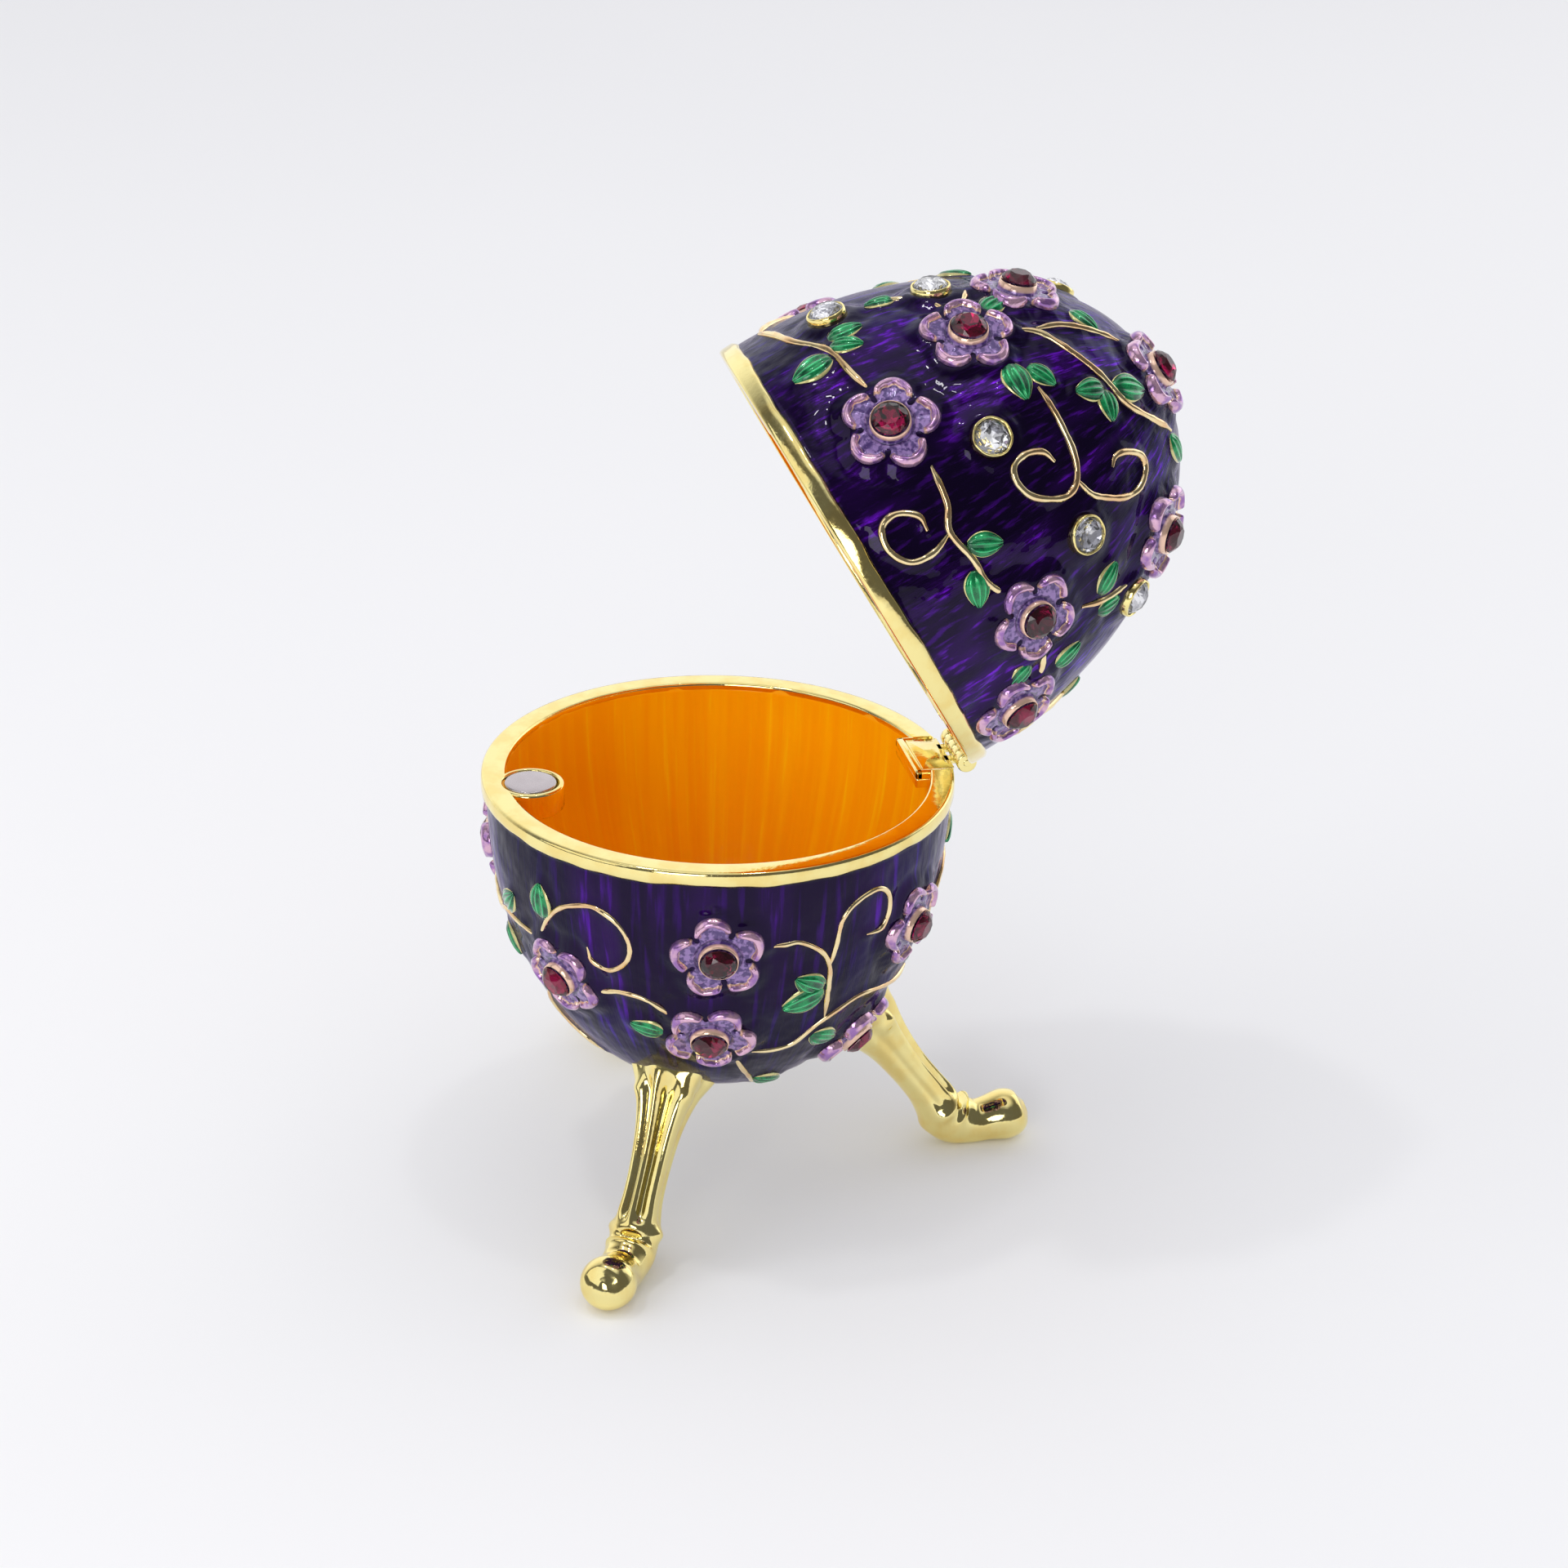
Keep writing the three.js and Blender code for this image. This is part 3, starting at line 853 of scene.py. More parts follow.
# ---- geometry node trees ----
class NodeWorks:
    """Geometry Nodes trees for what is set in rows or follows a path."""

    def __init__(self) -> None:
        """Builds the trees."""
        self.setting = self._setting()
        self.wire = self._wire()

    def _start(self, name: str, inputs: dict[str, str]) -> tuple[Wiring, dict[str, bpy.types.NodeSocket]]:
        """A new tree with named inputs by socket type, its wiring and its inputs inside.

        Args:
            name: The tree's name.
            inputs: The socket type of each input, by name.

        Returns:
            The wiring, and the inputs' sockets inside the tree by name.
        """
        tree = bpy.data.node_groups.new(name, "GeometryNodeTree")
        tree.interface.new_socket("Geometry", in_out="INPUT", socket_type="NodeSocketGeometry")
        for label, kind in inputs.items():
            tree.interface.new_socket(label, in_out="INPUT", socket_type=kind)
        tree.interface.new_socket("Geometry", in_out="OUTPUT", socket_type="NodeSocketGeometry")
        w = Wiring(tree)
        source = w.add("NodeGroupInput")
        return w, {s.name: s for s in source.outputs if s.name}

    def _attribute(self, w: Wiring, name: str, kind: str) -> bpy.types.NodeSocket:
        """A named attribute of the geometry."""
        return w.add("GeometryNodeInputNamedAttribute", {"Name": name}, data_type=kind).outputs["Attribute"]

    def _setting(self) -> bpy.types.NodeTree:
        """Sets a pattern on every point, turned and sized by the point's own marks.

        Returns:
            The tree.
        """
        w, given = self._start(
            "set_on_points",
            {
                "Pattern": "NodeSocketObject",
                "Size": "NodeSocketFloat",
                "Unevenness": "NodeSocketFloat",
                "Seed": "NodeSocketInt",
                "Finish": "NodeSocketMaterial",
                "Backing": "NodeSocketMaterial",
            },
        )
        pattern = w.add("GeometryNodeObjectInfo", {"Object": given["Pattern"]}).outputs["Geometry"]
        turn = w.add("FunctionNodeEulerToRotation", {0: self._attribute(w, "turn", "FLOAT_VECTOR")}).outputs[0]
        spread = w.add("FunctionNodeRandomValue", {"Seed": given["Seed"]}, data_type="FLOAT")
        low = w.sum("SUBTRACT", 1.0, given["Unevenness"])
        high = w.sum("ADD", 1.0, given["Unevenness"])
        w.tree.links.new(low, spread.inputs[2])
        w.tree.links.new(high, spread.inputs[3])
        size = w.sum("MULTIPLY", self._attribute(w, "size", "FLOAT"), given["Size"])
        size = w.sum("MULTIPLY", size, spread.outputs[1])
        set_ = w.add(
            "GeometryNodeInstanceOnPoints",
            {"Points": given["Geometry"], "Instance": pattern, "Rotation": turn, "Scale": size},
        )
        real = w.add("GeometryNodeRealizeInstances", {"Geometry": set_.outputs[0]})
        dressed = w.add("GeometryNodeSetMaterial", {"Geometry": real.outputs[0], "Material": given["Finish"]})
        backed = w.sum("GREATER_THAN", self._attribute(w, "backing", "FLOAT"), 0.5)
        ended = w.add(
            "GeometryNodeSetMaterial",
            {"Geometry": dressed.outputs[0], "Selection": backed, "Material": given["Backing"]},
        )
        w.add("NodeGroupOutput", {"Geometry": ended.outputs[0]})
        return w.tree

    def _wire(self) -> bpy.types.NodeTree:
        """Draws a soldered wire along every path, as thick as the path's own mark says.

        Returns:
            The tree.
        """
        w, given = self._start(
            "wire_on_paths",
            {
                "Girth": "NodeSocketFloat",
                "Unevenness": "NodeSocketFloat",
                "Sides": "NodeSocketInt",
                "Finish": "NodeSocketMaterial",
            },
        )
        path = w.add("GeometryNodeMeshToCurve", {"Mesh": given["Geometry"]}).outputs[0]
        section = w.add("GeometryNodeCurvePrimitiveCircle", {"Resolution": given["Sides"], "Radius": 1.0}).outputs[0]
        lumps = w.add("ShaderNodeTexNoise", {"Scale": 0.7, "Detail": 1.0}).outputs[0]
        swell = w.sum("MULTIPLY", w.sum("SUBTRACT", lumps, 0.5), given["Unevenness"])
        girth = w.sum("MULTIPLY", self._attribute(w, "girth", "FLOAT"), given["Girth"])
        girth = w.sum("MULTIPLY", girth, w.sum("ADD", swell, 1.0))
        tube = w.add(
            "GeometryNodeCurveToMesh",
            {"Curve": path, "Profile Curve": section, "Scale": girth, "Fill Caps": True},
        ).outputs[0]
        real = w.add("GeometryNodeRealizeInstances", {"Geometry": tube}).outputs[0]
        ended = w.add("GeometryNodeSetMaterial", {"Geometry": real, "Material": given["Finish"]}).outputs[0]
        w.add("NodeGroupOutput", {"Geometry": ended})
        return w.tree

    def grow(self, seeds: bpy.types.Object, tree: bpy.types.NodeTree, values: dict[str, object]) -> None:
        """Runs a tree on an object and keeps the result as the object's plain mesh.

        Args:
            seeds: The points or paths to grow from.
            tree: The tree to run.
            values: The value for each of the tree's inputs, by name.
        """
        modifier = seeds.modifiers.new(tree.name, "NODES")
        modifier.node_group = tree
        for item in tree.interface.items_tree:
            if item.item_type == "SOCKET" and item.in_out == "INPUT" and item.name in values:
                modifier[item.identifier] = values[item.name]
        grown = bpy.data.meshes.new_from_object(seeds.evaluated_get(bpy.context.evaluated_depsgraph_get()))
        seeds.modifiers.remove(modifier)
        spent, seeds.data = seeds.data, grown
        grown.name = seeds.name
        bpy.data.meshes.remove(spent)


class Workshop:
    """What every sub-assembly needs to make and hand in its pieces."""

    def __init__(self, egg: EggFrame) -> None:
        """Builds the shared effects and node trees.

        Args:
            egg: The egg's place in the row frame.
        """
        self.egg = egg
        self.effects = Effects()
        self.works = NodeWorks()

    def hand_in(
        self, piece: bpy.types.Object, body: Body, slot: Slot, finishes: Sequence[Finish], nodes: Sequence[str]
    ) -> None:
        """Dresses a piece, puts it on its body and lets it stand for its CAD nodes.

        Args:
            piece: The finished mesh.
            body: The body that it rides on.
            slot: The record's material slot; not used.
            finishes: Its finishes in order, or none if its node tree has set them.
            nodes: The CAD nodes that it stands for.
        """
        for finish in finishes:
            piece.data.materials.append(finish.material(self.effects))
        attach(piece, body.value)
        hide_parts(*nodes)
        LOG.info("%s: %d faces on %s", piece.name, len(piece.data.polygons), body.value)

    def set_in_places(
        self,
        name: str,
        form: HalfForm,
        places: Sequence[Place],
        pattern: bpy.types.Object,
        finish: Finish,
        backing: Finish | None = None,
        lift: float = 0.0,
        unevenness: float = 0.03,
        shaded: bool = True,
    ) -> bpy.types.Object:
        """Sets a pattern in every place on a half, as one mesh in the row frame.

        Args:
            name: The piece's name.
            form: The half.
            places: Where each one sits.
            pattern: One of them, in millimetres, with Z out of the surface.
            finish: Its finish.
            backing: The finish of the faces that are marked as backing.
            lift: Height above the surface.
            unevenness: How much the sizes vary, as a share.
            shaded: True for smooth shading.

        Returns:
            The piece, not yet riding on a body.
        """
        seats = [form.seat(place, lift) for place in places]
        mesh = bpy.data.meshes.new(name)
        mesh.from_pydata([seat.translation for seat in seats], [], [])
        turns = mesh.attributes.new("turn", "FLOAT_VECTOR", "POINT")
        turns.data.foreach_set("vector", [v for seat in seats for v in seat.to_euler()])
        sizes = mesh.attributes.new("size", "FLOAT", "POINT")
        sizes.data.foreach_set("value", [place.size for place in places])
        piece = bpy.data.objects.new(name, mesh)
        bpy.context.scene.collection.objects.link(piece)
        values = {
            "Pattern": pattern,
            "Size": 1.0,
            "Unevenness": unevenness,
            "Seed": SEED,
            "Finish": finish.material(self.effects),
        }
        if backing:
            values["Backing"] = backing.material(self.effects)
        self.works.grow(piece, self.works.setting, values)
        piece.data.transform(self.egg.to_row[form.body])
        piece.data.polygons.foreach_set("use_smooth", [shaded] * len(piece.data.polygons))
        return piece

    def wires(self, name: str, form: HalfForm, paths: Sequence[np.ndarray], finish: Finish) -> bpy.types.Object:
        """Lays wires over a half, as one mesh in the row frame.

        Args:
            name: The piece's name.
            form: The half.
            paths: Rows of x, y, z and girth, for each wire.
            finish: Its finish.

        Returns:
            The piece, not yet riding on a body.
        """
        mesh = bpy.data.meshes.new(name)
        points, edges, girths = [], [], []
        for path in paths:
            start = len(points)
            points += path[:, :3].tolist()
            girths += path[:, 3].tolist()
            edges += [(i, i + 1) for i in range(start, len(points) - 1)]
        mesh.from_pydata(points, edges, [])
        mesh.attributes.new("girth", "FLOAT", "POINT").data.foreach_set("value", girths)
        piece = bpy.data.objects.new(name, mesh)
        bpy.context.scene.collection.objects.link(piece)
        values = {"Girth": 1.0, "Unevenness": 0.7, "Sides": 10, "Finish": finish.material(self.effects)}
        self.works.grow(piece, self.works.wire, values)
        turn_outwards(piece.data)
        piece.data.transform(self.egg.to_row[form.body])
        piece.data.polygons.foreach_set("use_smooth", [True] * len(piece.data.polygons))
        return piece


# ---- patterns for what repeats ----
@dataclass
class FlowerPattern:
    """A five-petalled flower: a bezel ring, a groove, and petals with a broad curled lip."""

    petal_out: float = 3.28
    petal_radius: float = 2.04
    dish: float = 0.62
    lip_rise: float = 0.70
    lip_inside: float = 1.14
    bezel_radius: float = 2.12
    bezel_top: float = 1.55
    groove: float = 2.48  # the groove round the bezel, which is painted with shade
    bed: float = 2.57  # where the petals begin
    seat_curve: float = 62.0  # twice the radius of the surface that it is bent to
    round_: int = 130

    def outline(self, angle: np.ndarray) -> np.ndarray:
        """The flower's outline: how far it reaches at each angle.

        Args:
            angle: Angles in radians.

        Returns:
            The reach at each angle, in millimetres.
        """
        fold = self._fold(angle)
        side = self.petal_out * np.sin(fold)
        return self.petal_out * np.cos(fold) + np.sqrt(self.petal_radius**2 - side**2)

    def _fold(self, angle: np.ndarray) -> np.ndarray:
        """The angle from the nearest petal's middle."""
        fifth = 2 * math.pi / 5
        return (angle + fifth / 2) % fifth - fifth / 2

    def relief(self, radius: np.ndarray, angle: np.ndarray) -> tuple[np.ndarray, np.ndarray, np.ndarray]:
        """The relief over the flower.

        Args:
            radius: Distances from the flower's middle.
            angle: Angles round it, in radians.

        Returns:
            The height, and how much of lip and of painted notch shade there is, at each point.
        """
        fold = self._fold(angle)
        x, y = radius * np.cos(fold) - self.petal_out, radius * np.sin(fold)
        reach, bearing = np.hypot(x, y), np.arctan2(y, x)
        ragged = 0.09 * np.sin(5 * bearing + 2 * angle)
        inside = self.lip_inside + 0.25 * smooth(np.abs(bearing), 0.6, 1.5)
        lip = smooth(reach + ragged, inside - 0.1, inside + 0.16) * (1 - smooth(np.abs(bearing), 1.30, 1.75))
        lip = lip * smooth(radius, 2.75, 3.0)
        crest = lip * (0.50 + 0.50 * np.sin(np.clip((reach - inside) / 0.95, 0, 1) * math.pi))
        seam = hump((math.pi / 5 - np.abs(fold)) * radius, 0.26) * smooth(radius, 2.7, 3.3)
        crease = hump(y, 0.10) * smooth(radius, 2.9, 3.3) * (1 - lip) * 0.10
        height = self.dish + self.lip_rise * crest - 0.75 * seam - crease
        height -= 0.28 * hump(radius - self.groove, 0.15)
        ring = hump(radius - self.bezel_radius, 0.15)
        bezel = np.maximum(height * smooth(radius, 1.72, 2.02), ring * self.bezel_top)
        height = np.where(radius < self.bed, bezel, height)
        mark = np.maximum(lip, np.where(radius < 2.37, 0.42 * smooth(ring, 0.3, 0.7), 0))
        # Painted shade mark: the notches between petals and the groove round the bezel.
        return height, mark, np.maximum(seam, 0.7 * hump(radius - self.groove, 0.1))

    def make(self, name: str) -> bpy.types.Object:
        """One flower in millimetres, closed underneath.

        Args:
            name: The pattern's name.

        Returns:
            The pattern, in the scene.
        """
        angle = np.linspace(0, 2 * math.pi, self.round_, endpoint=False)
        inner = [0.6, 1.5, 1.78, 1.9, 2.0, 2.08, 2.16, 2.24, 2.32, 2.42, 2.52]
        edge = self.outline(angle)
        radii = [np.full_like(angle, r) for r in inner]
        radii += [self.bed + (edge - self.bed) * u for u in np.linspace(0, 1, 19)[1:]]
        heights, lips, notch_shades = zip(*(self.relief(r, angle) for r in radii))
        radii += [edge + 0.10, edge + 0.14]
        heights = [*heights, heights[-1] - 0.35, np.full_like(angle, -1.0)]
        lips, notch_shades = [*lips, lips[-1], lips[-1] * 0], [*notch_shades, notch_shades[-1], notch_shades[-1] * 0 + 1]
        heights = [height - radius**2 / self.seat_curve for height, radius in zip(heights, radii)]
        rings = [np.stack([r * np.cos(angle), r * np.sin(angle), h], -1) for r, h in zip(radii, heights)]
        stock = Stock()
        stock.add_rings(np.array(rings), lip=np.array(lips), pit=np.array(notch_shades))
        return stock.mesh(name)


@dataclass
class LeafPattern:
    """A pointed leaf with lengthwise ribs."""

    length: float = 4.7
    half_width: float = 1.5
    top: float = 0.75
    root: float = 0.7  # how far it reaches into the enamel
    seat_curve: float = 60.0  # twice the radius of the surface that it is bent to

    def make(self, name: str) -> bpy.types.Object:
        """One leaf in millimetres, with its tip along +X, closed underneath.

        Args:
            name: The pattern's name.

        Returns:
            The pattern, in the scene.
        """
        along = np.linspace(0, 1, 27)[1:-1]
        across = np.linspace(-1, 1, 21)
        u, v = np.meshgrid(along, across, indexing="ij")
        width = self.half_width * np.sin(math.pi * u**0.85) ** 0.75
        x = (u - 0.5) * self.length + 0.12 * v * np.sin(math.pi * u)
        y = v * width
        ribs = sum(hump(v - spot, 0.13) for spot in (-0.56, 0.06, 0.58)) * smooth(u, 0.06, 0.25)
        rim = smooth(np.abs(v), 0.90, 0.99)
        height = self.top * (0.55 + 0.45 * (1 - v**2)) * np.sin(math.pi * u) ** 0.35
        height = height + 0.20 * ribs + 0.10 * rim - x**2 / self.seat_curve
        lower = np.stack([x, y * 1.04, np.full_like(x, -self.root)], -1)
        upper = np.stack([x, y, height], -1)
        rings = np.concatenate([upper, lower[:, ::-1]], 1)
        pad = np.zeros_like(ribs)
        stock = Stock()
        stock.add_rings(rings, rib=np.concatenate([ribs, pad], 1), rim=np.concatenate([rim, pad], 1))
        return stock.mesh(name)


@dataclass
class StonePattern:
    """A round brilliant: table, stars, kites and girdle facets over a foiled pavilion."""

    radius: float = 1.98
    table: float = 1.1
    crown: float = 0.75
    pavilion: float = 1.0

    def make(self, name: str) -> bpy.types.Object:
        """One stone in millimetres, with its girdle on Z = 0.

        Args:
            name: The pattern's name.

        Returns:
            The pattern, in the scene.
        """

        def ring(count: int, radius: float, z: float, turn: float) -> np.ndarray:
            """A ring of corners."""
            angle = 2 * math.pi * (np.arange(count) + turn) / count
            return np.stack([radius * np.cos(angle), radius * np.sin(angle), np.full(count, z)], -1)

        table, stars = ring(8, self.table, self.crown, 0), ring(8, 0.5 * (self.table + self.radius), 0.45, 0.5)
        girdle, belt = ring(16, self.radius, 0.0, 0), ring(16, self.radius, -0.1, 0)
        mains, culet = ring(8, self.radius * 0.52, -self.pavilion * 0.62, 0.5), np.array([[0, 0, -self.pavilion]])
        points = np.vstack([table, stars, girdle, belt, mains, culet])
        t, s, g, b, m, c = 0, 8, 16, 32, 48, 56
        glass: list[list[int]] = [list(range(8))]
        foil: list[list[int]] = []
        for i in range(8):
            n, p = (i + 1) % 8, (i - 1) % 8
            glass += [[t + i, s + i, t + n], [t + i, s + p, g + 2 * i, s + i]]
            glass += [[s + i, g + 2 * i, g + 2 * i + 1], [s + i, g + 2 * i + 1, g + 2 * n]]
            foil += [[b + 2 * i, m + i, b + 2 * i + 1], [b + 2 * i + 1, m + i, b + 2 * n]]
            foil += [[b + 2 * i, m + p, m + i], [c, m + i, m + p]]
        glass += [[g + i, b + i, b + (i + 1) % 16, g + (i + 1) % 16] for i in range(16)]
        stock = Stock()
        stock.add(points, glass + foil)
        stone = stock.mesh(name, shaded=False)
        marks = stone.data.attributes.new("backing", "FLOAT", "FACE")
        marks.data.foreach_set("value", [0.0] * len(glass) + [1.0] * len(foil))
        return stone


@dataclass
class BezelPattern:
    """A thin gold collar that holds a clear stone."""

    radius: float = 2.12

    def make(self, name: str) -> bpy.types.Object:
        """One collar in millimetres.

        Args:
            name: The pattern's name.

        Returns:
            The pattern, in the scene.
        """
        section = [(-0.2, -0.8), (0.24, -0.8), (0.22, 0.3), (0.17, 0.8), (0.13, 1.08), (0.06, 1.18), (-0.02, 1.2)]
        section += [(-0.10, 1.13), (-0.14, 0.95), (-0.18, 0.4)]
        angle = np.linspace(0, 2 * math.pi, 48, endpoint=False)
        wobble = 1 + ripple(angle, [(3, 0.010, 0.4), (7, 0.008, 1.0)])
        rings = []
        for grow, z in section:
            r = (self.radius + grow) * wobble
            rings.append(np.stack([r * np.cos(angle), r * np.sin(angle), np.full_like(angle, z)], -1))
        stock = Stock()
        stock.add_rings(np.array(rings), caps=False)
        return stock.mesh(name)


# ---- the two halves ----
@dataclass
class Half:
    """One half of the egg with everything set on it."""

    shop: Workshop
    form: HalfForm
    name: str
    flowers: Sequence[Place]
    leaves: Sequence[Place]
    vines: Sequence[Sequence[tuple[float, float]]]
    crystals: Sequence[Place] = ()
    enamel: Finish = VIOLET
    floor_depth: float | None = None
    round_: int = 500
    rows: int = 150
    enamel_wall: float = 1.0
    lining_wall: float = 0.9
    wall: float = 2.3
    stone_girdle: float = 1.65
    crystal_girdle: float = 1.05
    girth: float = 0.43
    vine_lift: float = 0.12
    vine_taper: float = 2.2
    vine_steps: int = 7
    collar_reach: float = 2.6
    leaf_reach: tuple[float, float] = (2.1, 1.0)
    outline_points: int = 50
    top_latitude: float = 89.3
    tuck: float = 0.12  # how far the enamel goes in under the rim
    lining_round: int = 240
    floor_softness: float = 1.2
    paths: list[np.ndarray] = field(default_factory=list)

    def build(self, patterns: dict[str, bpy.types.Object]) -> None:
        """Builds and hands in every piece of the half.

        Args:
            patterns: The patterns for what repeats, by name.
        """
        self.paths = [self._path(vine) for vine in self.vines]
        shop, body, node = self.shop, self.form.body, [self.name]
        shop.hand_in(self._enamel(), body, Slot.ENAMEL, [self.enamel], node)
        shop.hand_in(self._rim(), body, Slot.GOLD, [GOLD], node)
        shop.hand_in(self._lining(), body, Slot.AMBER, [AMBER], node)
        shop.hand_in(self._lugs(), body, Slot.GOLD, [GOLD], node)
        wires = shop.wires(self.name + "_vines", self.form, self.paths, ROSE_GOLD)
        shop.hand_in(wires, body, Slot.GOLD, [], node)
        flowers = shop.set_in_places(self.name + "_flowers", self.form, self.flowers, patterns["flower"], PETAL)
        shop.hand_in(flowers, body, Slot.PETAL, [], node)
        leaves = shop.set_in_places(
            self.name + "_leaves", self.form, self.leaves, patterns["leaf"], LEAF, unevenness=0.08
        )
        shop.hand_in(leaves, body, Slot.LEAF, [], node)
        stones = shop.set_in_places(
            self.name + "_amethysts", self.form, self.flowers, patterns["stone"], AMETHYST, AMETHYST_FOIL,
            lift=self.stone_girdle, unevenness=0.0, shaded=False,
        )
        shop.hand_in(stones, body, Slot.AMETHYST, [], self._numbered("amethyst", len(self.flowers)))
        if self.crystals:
            collars = shop.set_in_places(
                self.name + "_bezels", self.form, self.crystals, patterns["bezel"], GOLD, unevenness=0.02
            )
            shop.hand_in(collars, body, Slot.GOLD, [], node)
            clear = shop.set_in_places(
                self.name + "_crystals", self.form, self.crystals, patterns["stone"], CRYSTAL, CRYSTAL_FOIL,
                lift=self.crystal_girdle, unevenness=0.0, shaded=False,
            )
            shop.hand_in(clear, body, Slot.CRYSTAL, [], self._numbered("crystal", len(self.crystals)))

    def _numbered(self, kind: str, count: int) -> list[str]:
        """The names of the CAD nodes of one kind of stone."""
        return [f"{self.name}_{kind}_{i + 1:02d}" for i in range(count)]

    def _path(self, vine: Sequence[tuple[float, float]]) -> np.ndarray:
        """A vine's path over the surface, with its girth tapering to both ends.

        Args:
            vine: Azimuths and latitudes that the vine passes through.

        Returns:
            Rows of x, y, z and girth.
        """
        spots = np.array(vine, float)
        path = through(self.form.points(spots[:, 0], spots[:, 1]), self.vine_steps)
        path = self.form.onto(path, self.vine_lift)
        run = np.concatenate([[0], np.cumsum(np.linalg.norm(np.diff(path, axis=0), axis=1))])
        from_end = np.minimum(run, run[-1] - run)
        girth = self.girth * (0.45 + 0.55 * smooth(from_end, 0, self.vine_taper))
        return np.column_stack([path, girth])

    def _nearest(self, points: np.ndarray, marks: np.ndarray) -> np.ndarray:
        """How far each point is from the nearest mark.

        Args:
            points: Points on the shell.
            marks: Points to measure to.

        Returns:
            A distance for each point.
        """
        tree = KDTree(len(marks))
        for i, spot in enumerate(marks):
            tree.insert(spot, i)
        tree.balance()
        return np.array([tree.find(point)[2] for point in points])

    def _outlines(self) -> tuple[np.ndarray, np.ndarray]:
        """Points along the edges of the flowers and collars, and along the leaves and vines.

        Returns:
            The points along the bold reliefs, and those along the fine ones.
        """
        flower = FlowerPattern()
        angle = np.linspace(0, 2 * math.pi, self.outline_points, endpoint=False)
        collar = np.full(self.outline_points, self.collar_reach)
        bold, fine = [], [path[:, :3] for path in self.paths]
        for places, reach in ((self.flowers, flower.outline(angle)), (self.crystals, collar)):
            for place in places:
                seat = np.array(self.form.seat(place))
                edge = np.stack([reach * np.cos(angle), reach * np.sin(angle)], -1) * place.size
                bold.append(seat[:3, 3] + edge @ seat[:3, :2].T)
        long, broad = self.leaf_reach
        for place in self.leaves:
            seat = np.array(self.form.seat(place))
            edge = np.stack([long * np.cos(angle), broad * np.sin(angle)], -1) * place.size
            fine.append(seat[:3, 3] + edge @ seat[:3, :2].T)
        return np.vstack(bold), np.vstack(fine)

    def _brush(self, azimuth: np.ndarray, run: np.ndarray) -> np.ndarray:
        """The coordinates that the brush strokes follow, seamless round the egg."""
        turn = np.radians(azimuth)
        return np.stack([RIM_RADIUS * np.cos(turn), RIM_RADIUS * np.sin(turn), run], -1)

    def _enamel(self) -> bpy.types.Object:
        """The violet shell, rising a little where it meets each relief and the rim.

        Returns:
            The finished mesh, not yet handed in.
        """
        azimuth = np.linspace(0, 360, self.round_, endpoint=False)
        latitude = np.linspace(self.top_latitude, 0, self.rows)
        az, lat = np.meshgrid(azimuth, latitude)
        outer = self.form.points(az, lat)
        bold, fine = self._outlines()
        flat = outer.reshape(-1, 3)
        to_bold = self._nearest(flat, bold).reshape(az.shape)
        to_fine = self._nearest(flat, fine).reshape(az.shape)
        rise = 0.42 * hump(to_bold, 0.9) + 0.24 * hump(to_fine, 0.8) + 0.08 * hump(to_bold, 2.6)
        rise -= 0.14 * hump(to_bold - 2.0, 0.7)
        rise += 0.10 * ripple(np.radians(az), [(5, 0.4, 0.3), (9, 0.3, 1.4), (14, 0.2, 2.2)]) * np.cos(np.radians(lat))
        rise += 0.05 * np.sin(az / 9.0 + lat / 5.0) * np.sin(lat / 7.0) * smooth(90 - lat, 4, 15)
        outer = outer + self.form.outwards(outer) * rise[..., None]
        # Painted shade: darker round the flowers, collars, leaves and vines, and along the rim.
        pool = np.maximum(hump(to_bold, 1.9), 0.75 * hump(to_fine, 0.9))
        pool = np.maximum(pool, 0.5 * hump(lat, 5.0))
        radius, height = self.form.meridian(latitude)
        run = np.concatenate([[0], np.cumsum(np.hypot(np.diff(radius), np.diff(height)))])
        brush = self._brush(az, np.repeat(run[:, None], self.round_, 1))
        edge = self._band_edge(azimuth)
        collar = self._ring(azimuth, np.full_like(azimuth, RIM_RADIUS - 0.25), edge + self.tuck)
        foot = self._ring(azimuth, np.full_like(azimuth, RIM_RADIUS - 1.6), edge + self.tuck)
        inner_lat = np.linspace(0, self.top_latitude, 14)
        iaz, ilat = np.meshgrid(azimuth, inner_lat)
        r, h = self.form.meridian(ilat, -self.enamel_wall)
        inner = self._ring(iaz, r, h)
        rings = np.concatenate([outer, collar[None], foot[None], inner])
        extra = len(rings) - len(outer)
        # The collar, foot and inner rings take full painted shade.
        pool = np.concatenate([pool, np.ones((extra, self.round_))])
        brush = np.concatenate([brush, np.repeat(brush[-1:], extra, 0)])
        stock = Stock()
        stock.add_rings(rings, pool=pool[..., None], brush=brush)
        return stock.mesh(self.name + "_enamel", self.shop.egg.to_row[self.form.body])

    def _ring(self, azimuth: np.ndarray, radius: np.ndarray, height: np.ndarray) -> np.ndarray:
        """Points at azimuths in degrees, at radii and heights above the rim."""
        turn = np.radians(azimuth)
        return np.stack([radius * np.cos(turn), radius * np.sin(turn), self.form.rim + self.form.up * height], -1)

    def _band_edge(self, azimuth: np.ndarray) -> np.ndarray:
        """The wavy height at which the enamel meets the gold band."""
        waves = [(7, 0.07, 0.5), (13, 0.06, 2.0), (24, 0.045, 0.9), (41, 0.03, 1.7)]
        return self.form.band + 0.12 + ripple(np.radians(azimuth), waves)

